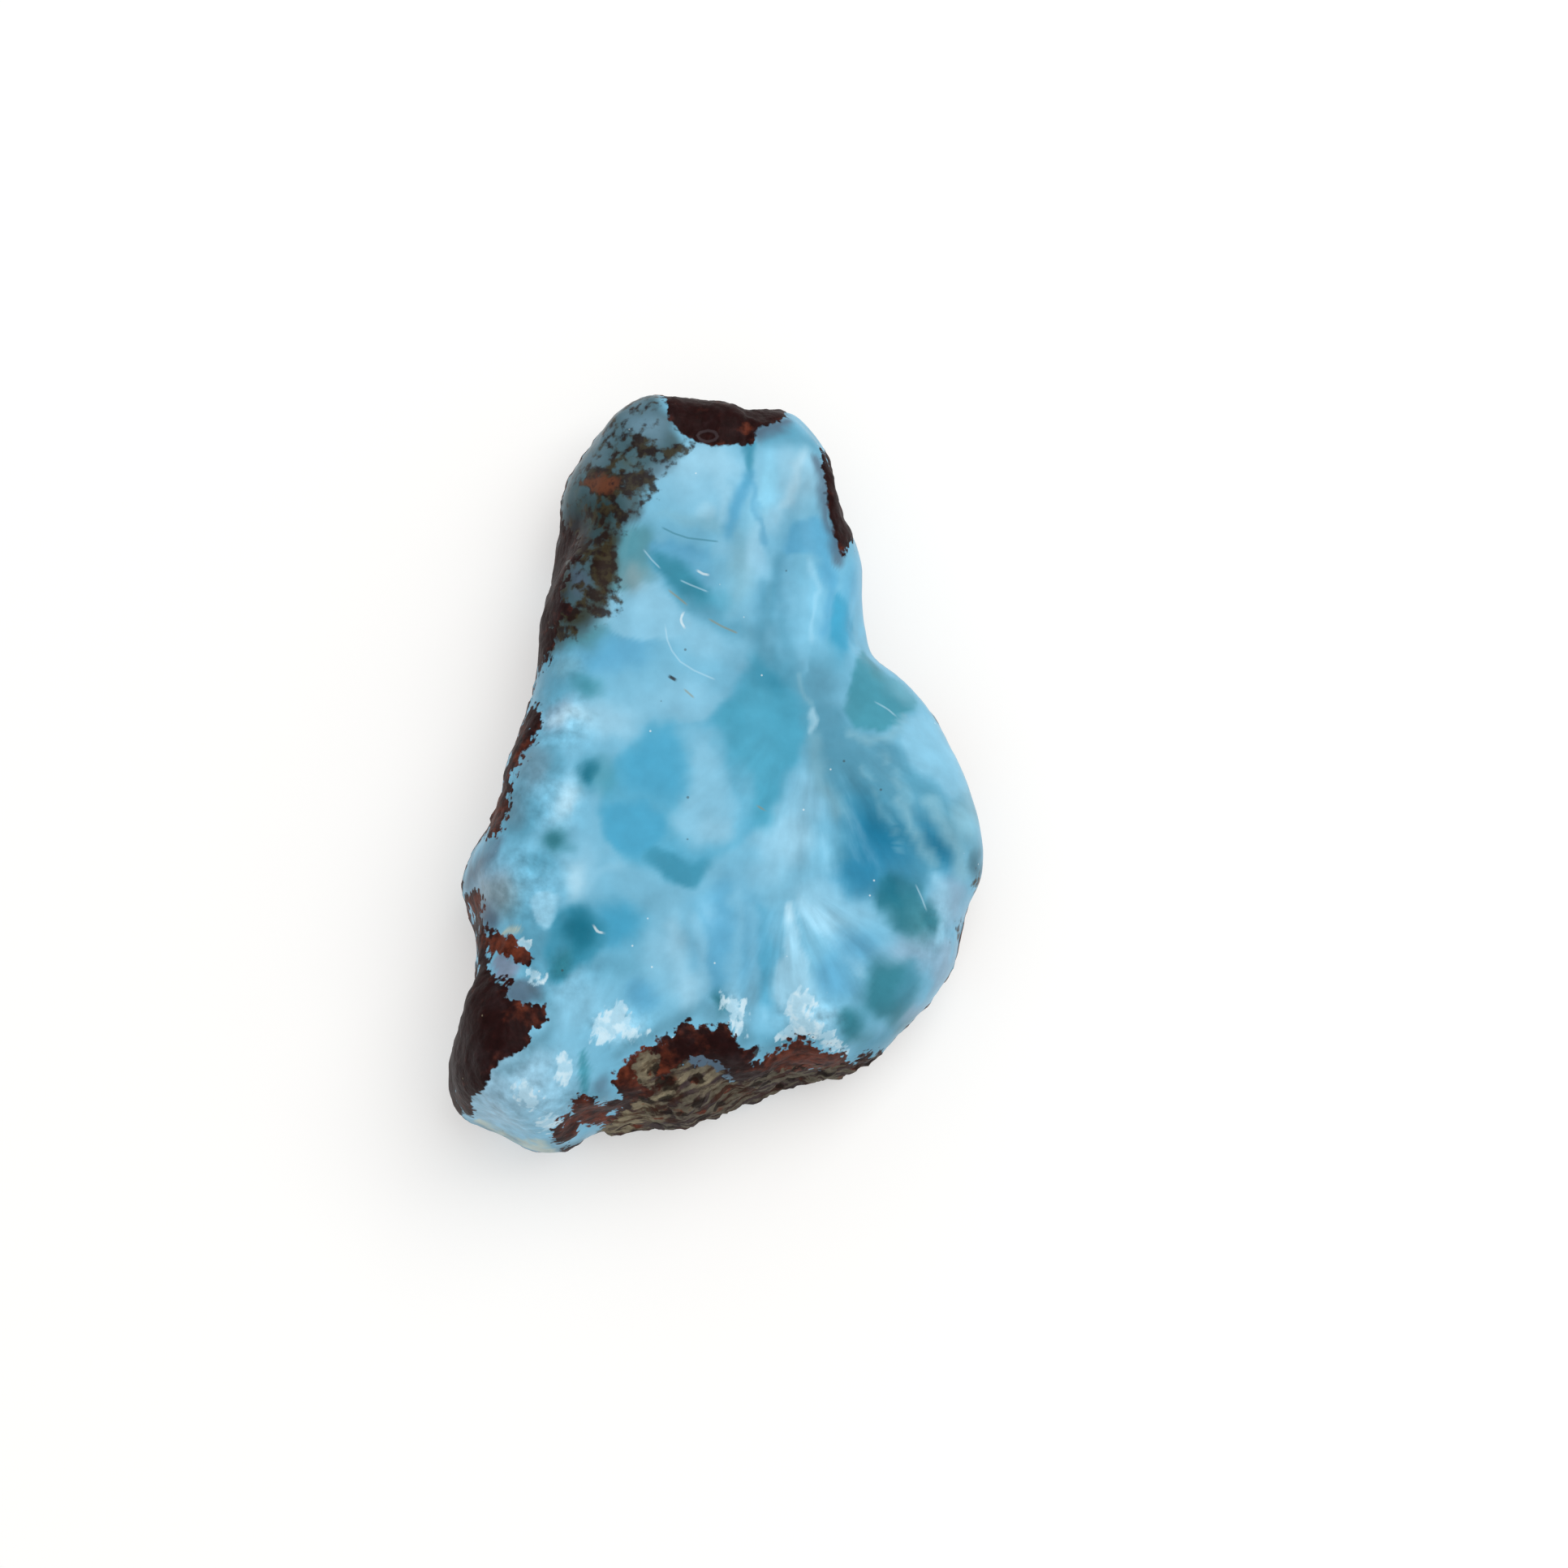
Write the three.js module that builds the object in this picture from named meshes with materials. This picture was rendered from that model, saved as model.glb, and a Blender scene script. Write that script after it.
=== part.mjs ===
// Raw larimar: one tumbled piece of blue pectolite, with a rind of brown iron crust and host rock
// on its left flank and lower edge. It lies on its flat underside with the blue face up.
// Units are millimetres, +Z is up, and the origin is under the middle of the stone.
import * as THREE from "three";
import { ImprovedNoise } from "three/addons/math/ImprovedNoise.js";
import { mergeVertices } from "three/addons/utils/BufferGeometryUtils.js";

// Driving dimensions
const LENGTH = 60; // along Y, from the lower lobe to the narrow end
const FACE_HEIGHT = 14.2; // the blue face above the underside, at the middle of the stone
const FACE_FALL_RIGHT = 0.11; // the face drops this much for each millimetre to the right
const FACE_FALL_END = 0.035; // and this much for each millimetre towards the narrow end

// The stone's sections run out from its middle and bend at this spine towards the girdle
const SPINE = { near: new THREE.Vector3(-2, -9, 0), far: new THREE.Vector3(-1, 9, 0) };

// How far the underside's rim lies inside the girdle, as a share of the section
const UNDERCUT = { mean: 0.18, change: 0.08, size: 12 };

// The section's curve above and below the girdle: 2 is round and 1 a straight bevel
const SHOULDER_POWER = 2.3;
const BELLY_POWER = 2.2;

// The girdle is the line where the stone is widest, anticlockwise from the near right corner along
// its four edges. Each row is x, y, height, the share of the section that the shoulder takes to climb
// to the face, and roughness: 0 is tumbled blue stone and 1 is crust or host rock.
const GIRDLE = {
  right: [
    [13.1, -21.9, 5.2, 0.12, 0.1],
    [14.7, -20.2, 5.6, 0.13, 0.0],
    [16.7, -18.2, 5.8, 0.14, 0.0],
    [18.7, -15.4, 6.0, 0.15, 0.1],
    [19.3, -12.9, 6.0, 0.17, 0.2],
    [20.0, -10.3, 6.0, 0.18, 0.1],
    [21.1, -8.2, 6.0, 0.20, 0.0],
    [21.2, -5.8, 6.0, 0.20, 0.0],
    [20.4, -2.0, 6.0, 0.21, 0.0],
    [19.4, 1.0, 6.2, 0.21, 0.0],
    [17.0, 5.4, 6.5, 0.20, 0.0],
    [14.8, 8.0, 6.5, 0.19, 0.0],
    [12.6, 9.6, 6.2, 0.18, 0.0],
    [12.0, 11.8, 6.0, 0.17, 0.0],
    [11.7, 14.7, 6.0, 0.15, 0.0],
    [11.7, 16.8, 6.0, 0.14, 0.1],
    [11.1, 19.0, 6.0, 0.12, 0.2],
    [9.8, 20.8, 6.2, 0.11, 0.4],
    [9.4, 23.0, 6.4, 0.10, 0.5],
    [8.9, 25.4, 6.5, 0.09, 0.4],
  ],
  far: [
    [7.4, 28.0, 6.6, 0.08, 0.2],
    [6.0, 29.2, 6.6, 0.08, 0.2],
    [3.8, 29.1, 6.4, 0.08, 0.5],
    [2.4, 28.9, 6.2, 0.08, 0.7],
    [0.4, 29.3, 6.0, 0.08, 0.7],
    [-1.7, 29.5, 6.0, 0.08, 0.6],
    [-3.6, 29.9, 6.0, 0.08, 0.5],
    [-6.1, 30.3, 5.6, 0.08, 0.5],
  ],
  left: [
    [-7.6, 29.3, 5.4, 0.11, 0.5],
    [-9.4, 27.4, 5.2, 0.15, 0.6],
    [-11.6, 23.9, 5.0, 0.21, 0.8],
    [-12.1, 21.8, 5.0, 0.24, 0.9],
    [-12.1, 20.2, 5.0, 0.25, 1.0],
    [-13.0, 16.4, 4.8, 0.24, 1.0],
    [-13.1, 13.4, 4.6, 0.22, 1.0],
    [-13.7, 9.9, 4.6, 0.20, 0.9],
    [-14.4, 5.8, 4.6, 0.18, 0.8],
    [-15.0, 3.2, 4.6, 0.17, 0.8],
    [-16.4, 0.3, 4.6, 0.16, 0.8],
    [-17.2, -2.6, 4.6, 0.15, 0.7],
    [-18.2, -4.8, 4.8, 0.14, 0.5],
    [-19.5, -6.9, 5.0, 0.14, 0.3],
    [-20.0, -9.0, 5.0, 0.14, 0.4],
    [-19.3, -11.1, 4.8, 0.14, 0.7],
    [-18.5, -13.4, 4.6, 0.14, 0.9],
    [-18.3, -15.4, 4.4, 0.15, 1.0],
    [-18.6, -17.0, 4.2, 0.16, 1.0],
    [-18.9, -18.6, 4.2, 0.17, 1.0],
    [-19.9, -20.0, 4.2, 0.17, 1.0],
    [-20.9, -22.6, 4.4, 0.14, 0.9],
  ],
  near: [
    [-20.7, -25.5, 4.4, 0.11, 0.7],
    [-19.3, -27.2, 4.4, 0.09, 0.4],
    [-17.0, -28.0, 4.4, 0.08, 0.3],
    [-14.2, -29.5, 4.4, 0.08, 0.3],
    [-12.0, -29.6, 4.2, 0.09, 0.4],
    [-10.2, -28.4, 3.8, 0.12, 0.8],
    [-8.5, -27.9, 3.4, 0.14, 1.0],
    [-4.6, -27.7, 3.0, 0.16, 1.0],
    [-1.8, -27.2, 3.0, 0.16, 1.0],
    [0.6, -26.3, 3.2, 0.16, 1.0],
    [3.4, -25.0, 3.6, 0.15, 1.0],
    [5.4, -23.9, 4.0, 0.14, 1.0],
    [8.6, -23.6, 4.4, 0.12, 0.8],
    [10.6, -23.2, 4.8, 0.12, 0.5],
  ],
};

// Hollows (negative rise) and swells of the blue face: each is a soft oval with its middle at x, y,
// its reach along and across, the turn of its long side from X in degrees, and its rise.
const FACE_FORMS = {
  centralDish: { at: [-1.5, -2], reach: [9, 7], turn: 75, rise: -1.3 },
  upperScoop: { at: [-2.5, 15], reach: [7, 3.5], turn: -20, rise: -0.8 },
  scoopLip: { at: [-2, 19.5], reach: [6, 1.4], turn: -8, rise: 0.5 },
  crownFacet: { at: [-1, 24], reach: [4, 3], turn: 10, rise: 0.5 },
  crownGroove: { at: [2.2, 25.5], reach: [3.5, 0.9], turn: 85, rise: -0.6 },
  centreRib: { at: [2.6, 13], reach: [9, 1.6], turn: 88, rise: 0.6 },
  leftFlute: { at: [4.4, 15], reach: [5.5, 1.1], turn: 84, rise: -0.7 },
  flutedRib: { at: [7, 13], reach: [6, 1.3], turn: 86, rise: 0.5 },
  rightFlute: { at: [9.4, 13.5], reach: [5.5, 1.0], turn: 80, rise: -0.7 },
  shoulderScoop: { at: [12.6, 5], reach: [3.6, 2.6], turn: 60, rise: -0.9 },
  shoulderLip: { at: [12.5, 1.6], reach: [4.5, 1.2], turn: 10, rise: 0.4 },
  rightSwell: { at: [16, -2], reach: [6, 3.5], turn: -60, rise: 0.8 },
  deepChannel: { at: [12, -6], reach: [7, 2.4], turn: -50, rise: -0.6 },
  middleRidge: { at: [5.5, -8], reach: [7, 2.0], turn: 70, rise: 0.7 },
  lowerFan: { at: [6, -16], reach: [6, 5], turn: 0, rise: 0.5 },
  greenHollow: { at: [14, -16], reach: [4, 3], turn: 50, rise: -0.5 },
  leftBank: { at: [-13, -3], reach: [7, 3], turn: 70, rise: 0.8 },
  lobeSaddle: { at: [-12, -15], reach: [6, 3], turn: 20, rise: -1.1 },
  lobeCrown: { at: [-14, -24], reach: [5, 4], turn: 30, rise: 0.5 },
  lowerBrow: { at: [-2, -21], reach: [7, 2.0], turn: 12, rise: 0.5 },
};

// Lumps (positive rise) and pits of the flanks: each is a soft ball with its middle at x, y, z.
const FLANK_FORMS = {
  darkKnob: { at: [-17, -19.5, 12], reach: 3, rise: 0.7 },
  knobPit: { at: [-20.5, -24.5, 8], reach: 2, rise: -0.8 },
  lobeChip: { at: [-15, -29, 10], reach: 2.5, rise: -0.7 },
  rockBrow: { at: [-5, -25, 11], reach: 4, rise: 0.8 },
  rockCleft: { at: [-8.5, -26, 7], reach: 2, rise: -1 },
  rockGully: { at: [1.5, -24.5, 8], reach: 2, rise: -0.9 },
  rockToe: { at: [5, -24, 6], reach: 3, rise: 0.6 },
  rightDent: { at: [19, -12.5, 8], reach: 2.5, rise: -0.6 },
  neckHollow: { at: [12, 11, 9], reach: 3, rise: -0.5 },
  capLump: { at: [0.5, 27.5, 13], reach: 2, rise: 0.5 },
  capNick: { at: [-2, 30, 10], reach: 1.6, rise: -0.6 },
  rindLump: { at: [-9, 22, 12], reach: 2.5, rise: 0.5 },
  rindPit: { at: [-12.5, 17, 9], reach: 2, rise: -0.8 },
  rindKnob: { at: [-11, 12, 13], reach: 2.2, rise: 0.5 },
  leftPit: { at: [-16, 1, 9], reach: 2.5, rise: -0.6 },
  leftKnob: { at: [-17, -8, 12], reach: 2.5, rise: 0.4 },
};

// Uneven ground: the size of its bumps, and how high they stand on tumbled stone and on crust
const SWELL = { size: 9, face: 0.3, flank: 0.9 };
const LUMPS = { size: 4.5, smooth: 0.05, rough: 1.2 };
const LEDGES = { spacing: 3, depth: 0.5, slant: 0.16, wander: 1.4, wanderSize: 5 };

// The face and the underside follow only every few of the girdle's points, so its bumps fade
const PLAIN_STEP = 4;

// Crust reaches in from the rim to this share of the way from the middle
const CRUST_REACH = 0.6;

// The girdle's outline stays as drawn: uneven ground fades out within this share of the flank
const GIRDLE_HOLD = 0.3;

// Hollows of the underside, how much of their noise is cut off to leave bearing flats, and the level
// at which the noise is cut
const UNDERSIDE = { size: 6.5, depth: 1.5, bearing: 0.2, level: 0.5 };

// Grid of the surface: cells across X, along Y and from underside to face, and how many times the
// points of the face and the underside are moved to spread them evenly
const CELLS = { across: 30, along: 40, up: 12 };
const SPREAD_PASSES = 800;

const { clamp, degToRad, lerp, smoothstep } = THREE.MathUtils;
const noise = new ImprovedNoise();

// Closed curves through the girdle's points, through every few of them, and through its shoulder
// shares and roughness
const edges = Object.keys(GIRDLE);
const rows = Object.values(GIRDLE).flat();
const points = rows.map(([x, y, height]) => new THREE.Vector3(x, y, height));
const girdle = new THREE.CatmullRomCurve3(points, true);
const plainGirdle = new THREE.CatmullRomCurve3(points.filter((_, i) => i % PLAIN_STEP === 0), true);
const girdleStyle = new THREE.CatmullRomCurve3(
  rows.map(([, , , shoulder, rough]) => new THREE.Vector3(shoulder, rough, 0)),
  true,
);

// A share of the way round the girdle, from a share of the way along one of its edges
function girdleShare(edge, share) {
  const before = edges.slice(0, edges.indexOf(edge)).reduce((sum, name) => sum + GIRDLE[name].length, 0);
  return (before + share * GIRDLE[edge].length) / rows.length;
}

// The share of the way round the girdle where a line from the middle of a square, from -1 to 1 each
// way, leaves the square through a and b
function shareTowards(a, b) {
  const size = Math.max(Math.abs(a), Math.abs(b), Number.EPSILON);
  if (a === size) return girdleShare("right", (1 + b / size) / 2);
  if (b === size) return girdleShare("far", (1 - a / size) / 2);
  if (a === -size) return girdleShare("left", (1 - b / size) / 2);
  return girdleShare("near", (1 + a / size) / 2);
}

// The point of a section that ends at a rim: it bends at a share of the spine's length, and reach is
// the share of the way out from the middle
function sectionPoint(rim, spineShare, reach) {
  const middle = new THREE.Vector3().lerpVectors(SPINE.near, SPINE.far, 0.5);
  const bend = new THREE.Vector3().lerpVectors(SPINE.near, SPINE.far, spineShare);
  return new THREE.QuadraticBezierCurve3(middle, bend, rim).getPoint(reach);
}

// The height of one of the face's hollows or swells at x, y
function faceForm({ at, reach, turn, rise }, x, y) {
  const angle = degToRad(turn);
  const dx = x - at[0];
  const dy = y - at[1];
  const along = (dx * Math.cos(angle) + dy * Math.sin(angle)) / reach[0];
  const across = (dy * Math.cos(angle) - dx * Math.sin(angle)) / reach[1];
  return rise * Math.exp(-along * along - across * across);
}

// The blue face's height at x, y
function faceHeight(x, y) {
  const plane = FACE_HEIGHT - FACE_FALL_RIGHT * x - FACE_FALL_END * y;
  return Object.values(FACE_FORMS).reduce((height, form) => height + faceForm(form, x, y), plane);
}

// How far one of the flank's lumps or pits moves the ground at a point
function flankForm({ at, reach, rise }, point) {
  const distance = point.distanceTo(new THREE.Vector3(...at)) / reach;
  return rise * Math.exp(-distance * distance);
}

// The noise at a point, for bumps of a size
function bumps(point, size) {
  return noise.noise(point.x / size, point.y / size, point.z / size);
}

// How far the face's rim, or else the underside's, lies inside the girdle at a share of its way round
function rimInset(share, above) {
  if (above) return girdleStyle.getPoint(share).x;
  return UNDERCUT.mean + UNDERCUT.change * bumps(plainGirdle.getPoint(share), UNDERCUT.size);
}

// Moves each inner point of rows of points to the middle of its four neighbours, until they are
// spread evenly
function spreadEvenly(grid) {
  for (let pass = 0; pass < SPREAD_PASSES; pass++) {
    for (let j = 1; j < CELLS.along; j++) {
      for (let i = 1; i < CELLS.across; i++) {
        const neighbours = [grid[j - 1][i], grid[j + 1][i], grid[j][i - 1], grid[j][i + 1]];
        grid[j][i].set(0, 0, 0);
        for (const neighbour of neighbours) grid[j][i].addScaledVector(neighbour, 1 / neighbours.length);
      }
    }
  }
}

// The plan of the face, or else of the underside, as rows of points whose outer ones lie on its rim
function capPlan(above) {
  const grid = [];
  for (let j = 0; j <= CELLS.along; j++) {
    grid.push([]);
    for (let i = 0; i <= CELLS.across; i++) {
      const a = (2 * i) / CELLS.across - 1;
      const b = (2 * j) / CELLS.along - 1;
      const share = shareTowards(a, b);
      const radius = Math.max(Math.abs(a), Math.abs(b), Number.EPSILON);
      const reach = radius * (1 - rimInset(share, above));
      grid[j].push(sectionPoint(plainGirdle.getPoint(share), (1 + b / radius) / 2, reach));
    }
  }
  spreadEvenly(grid);
  return grid;
}

const facePlan = capPlan(true);
const undersidePlan = capPlan(false);

// The flank's surface at a share of the way round the girdle and of the way up from it to the face,
// or with a negative share down to the underside
function flankPoint(share, spineShare, up) {
  const above = up > 0;
  const rim = plainGirdle.getPoint(share).lerp(girdle.getPoint(share), 1 - Math.abs(up));
  const power = 2 / (above ? SHOULDER_POWER : BELLY_POWER);
  const climb = (Math.abs(up) * Math.PI) / 2;
  const inset = rimInset(share, above) * (1 - Math.cos(climb) ** power);
  const point = sectionPoint(rim, spineShare, 1 - inset);
  const goal = above ? faceHeight(point.x, point.y) : 0;
  return point.setZ(lerp(rim.z, goal, Math.sin(climb) ** power));
}

// The stone's smooth surface at a point of a cube from -1 to 1 each way: the cube's top becomes the
// blue face, its sides the flank from shoulder to undercut, and its bottom the underside.
// With it come the ground's roughness and how freely the uneven ground may move it.
function smoothSurface(cube) {
  const radius = Math.max(Math.abs(cube.x), Math.abs(cube.y));
  const share = shareTowards(cube.x, cube.y);
  const rough = clamp(girdleStyle.getPoint(share).y, 0, 1) * smoothstep(radius, CRUST_REACH, 1);
  if (radius === 1) {
    const freedom = smoothstep(Math.abs(cube.z), 0, GIRDLE_HOLD);
    return { position: flankPoint(share, (1 + cube.y) / 2, cube.z), rough, freedom };
  }
  const i = Math.round(((1 + cube.x) / 2) * CELLS.across);
  const j = Math.round(((1 + cube.y) / 2) * CELLS.along);
  const { x, y } = (cube.z > 0 ? facePlan : undersidePlan)[j][i];
  return { position: new THREE.Vector3(x, y, cube.z > 0 ? faceHeight(x, y) : 0), rough, freedom: 1 };
}

// How far the uneven ground stands out from the smooth surface, along its normal
function relief(point, normal, rough) {
  const steep = 1 - Math.abs(normal.z);
  const wander = LEDGES.wander * bumps(point, LEDGES.wanderSize);
  const layer = (point.z - LEDGES.slant * point.x + wander) / LEDGES.spacing;
  const uneven =
    bumps(point, SWELL.size) * lerp(SWELL.face, SWELL.flank, steep) +
    bumps(point, LUMPS.size) * lerp(LUMPS.smooth, LUMPS.rough, rough) +
    Math.sin(2 * Math.PI * layer) * LEDGES.depth * rough * steep;
  return Object.values(FLANK_FORMS).reduce((sum, form) => sum + flankForm(form, point), uneven);
}

// How far the underside stands off the ground it lies on: shallow hollows between bearing flats
function undersideHollow(x, y) {
  const hollow = noise.noise(x / UNDERSIDE.size, y / UNDERSIDE.size, UNDERSIDE.level) - UNDERSIDE.bearing;
  return UNDERSIDE.depth * Math.max(0, hollow);
}

// A gridded cube as one closed mesh, whose faces share the vertices along their edges
function griddedCube() {
  const box = new THREE.BoxGeometry(2, 2, 2, CELLS.across, CELLS.along, CELLS.up);
  box.deleteAttribute("normal");
  box.deleteAttribute("uv");
  return mergeVertices(box);
}

// The stone: a gridded cube drawn out to the smooth surface, made uneven, and set on its underside
function stoneGeometry() {
  const geometry = griddedCube();
  const vertices = geometry.getAttribute("position");
  const point = new THREE.Vector3();
  const ground = [];
  for (let i = 0; i < vertices.count; i++) {
    ground.push(smoothSurface(point.fromBufferAttribute(vertices, i)));
    vertices.setXYZ(i, ...ground[i].position);
  }
  geometry.computeVertexNormals();
  const normals = geometry.getAttribute("normal");
  const normal = new THREE.Vector3();
  for (const [i, { position, rough, freedom }] of ground.entries()) {
    normal.fromBufferAttribute(normals, i);
    point.copy(position).addScaledVector(normal, freedom * relief(position, normal, rough));
    point.z = position.z > 0 ? Math.max(point.z, 0) : undersideHollow(point.x, point.y);
    vertices.setXYZ(i, ...point);
  }
  geometry.computeBoundingBox();
  const { min, max } = geometry.boundingBox;
  const scale = LENGTH / (max.y - min.y);
  geometry.translate(-(min.x + max.x) / 2, -(min.y + max.y) / 2, -min.z);
  geometry.scale(scale, scale, scale);
  geometry.computeVertexNormals();
  return geometry;
}

const larimarBlue = new THREE.MeshStandardMaterial({ color: 0x74b9da, roughness: 0.3, metalness: 0 });
const larimar = new THREE.Mesh(stoneGeometry(), larimarBlue);
larimar.name = "larimar";

const part = new THREE.Group();
part.add(larimar);

export default part;
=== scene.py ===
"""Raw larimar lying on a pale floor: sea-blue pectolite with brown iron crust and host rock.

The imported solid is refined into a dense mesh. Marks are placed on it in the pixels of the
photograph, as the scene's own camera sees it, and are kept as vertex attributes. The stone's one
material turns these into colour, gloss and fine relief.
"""

import math

import bmesh
import bpy
import numpy as np
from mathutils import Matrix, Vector, noise


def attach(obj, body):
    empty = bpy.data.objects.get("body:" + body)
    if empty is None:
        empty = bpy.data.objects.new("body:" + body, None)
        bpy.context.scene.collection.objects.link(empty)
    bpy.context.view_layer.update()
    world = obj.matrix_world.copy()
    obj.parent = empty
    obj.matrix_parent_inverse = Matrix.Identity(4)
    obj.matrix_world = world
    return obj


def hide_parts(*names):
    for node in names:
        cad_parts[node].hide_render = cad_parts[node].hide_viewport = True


MM = 0.001

# The camera, in millimetres and in pixels of the square photograph
PHOTO_SIZE = 1932
PIXEL_MM = 0.064
LENS_MM = 100
SENSOR_MM = 36
ELEVATION = math.radians(80)
TARGET_MM = np.array((5.31, -0.90, 6.0))
CLIP_START = 0.01  # metres
FOCAL_PIXELS = PHOTO_SIZE * LENS_MM / SENSOR_MM
BACK = np.array((0, -math.cos(ELEVATION), math.sin(ELEVATION)))
UP = np.array((0, math.sin(ELEVATION), math.cos(ELEVATION)))
CAMERA_MM = TARGET_MM + BACK * FOCAL_PIXELS * PIXEL_MM

# The studio: sizes and places in metres
FLOOR_SIZE = 4
FLOOR_COLOUR = (0.595, 0.597, 0.60, 1)
FLOOR_GLOW = 0.43
KEY_PLACE = (0.28, 0.22, 0.70)
KEY_SIZE = 0.6
KEY_POWER = 3.45
ROOM_LIGHT = 0.60
LIGHT_COLOUR = (1.0, 0.985, 0.955)
LIGHT_GAIN = 1.03
BLUE_HAZE = 0.018
DULL_HAZE = 0.006
DARKEST = 0.003

# Colours of the stone as they look under that light, in sRGB
PALETTE = {
    "sky": (121, 186, 217),
    "pale": (142, 200, 229),
    "ice": (156, 209, 236),
    "snow": (190, 228, 248),
    "bright cyan": (146, 214, 245),
    "blue": (98, 170, 208),
    "pool": (78, 165, 203),
    "lagoon": (84, 168, 199),
    "deep": (50, 130, 168),
    "teal": (66, 144, 174),
    "lens teal": (58, 138, 163),
    "shoulder": (80, 153, 175),
    "dark teal": (34, 108, 132),
    "sea": (58, 123, 140),
    # rim shade: a darker blue painted as shade along the stone's edges and beside the crust
    "rim shade": (84, 130, 150),
    "haze": (142, 166, 174),
    "twin": (90, 172, 207),
    "cotton": (160, 200, 224),
    "cream": (204, 206, 188),
    "slate": (90, 154, 182),
    "sage": (87, 146, 161),
    "mist": (134, 186, 208),
    "lilac": (146, 178, 203),
    "dusk": (88, 104, 122),
    "pebble": (112, 146, 166),
    "violet": (132, 147, 172),
    "rind": (76, 101, 110),
    "rind pale": (120, 156, 178),
    "rind teal": (48, 64, 66),
    "olive": (62, 55, 39),
    "maroon": (46, 38, 40),
    "stain": (76, 90, 84),
    "fleck": (40, 27, 23),
    "rust": (108, 62, 40),
    "ochre": (150, 138, 92),
    "white": (228, 243, 250),
    "crust": (40, 23, 20),
    "crust red": (102, 52, 38),
    "crust sheen": (72, 63, 67),
    "rock green": (104, 99, 86),
    "rock cream": (150, 140, 116),
    "rock brown": (66, 43, 34),
    "rock lilac": (70, 60, 62),
    # rock dark: used for painted shade in the rock's gaps and pits
    "rock dark": (33, 26, 23),
}

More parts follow.
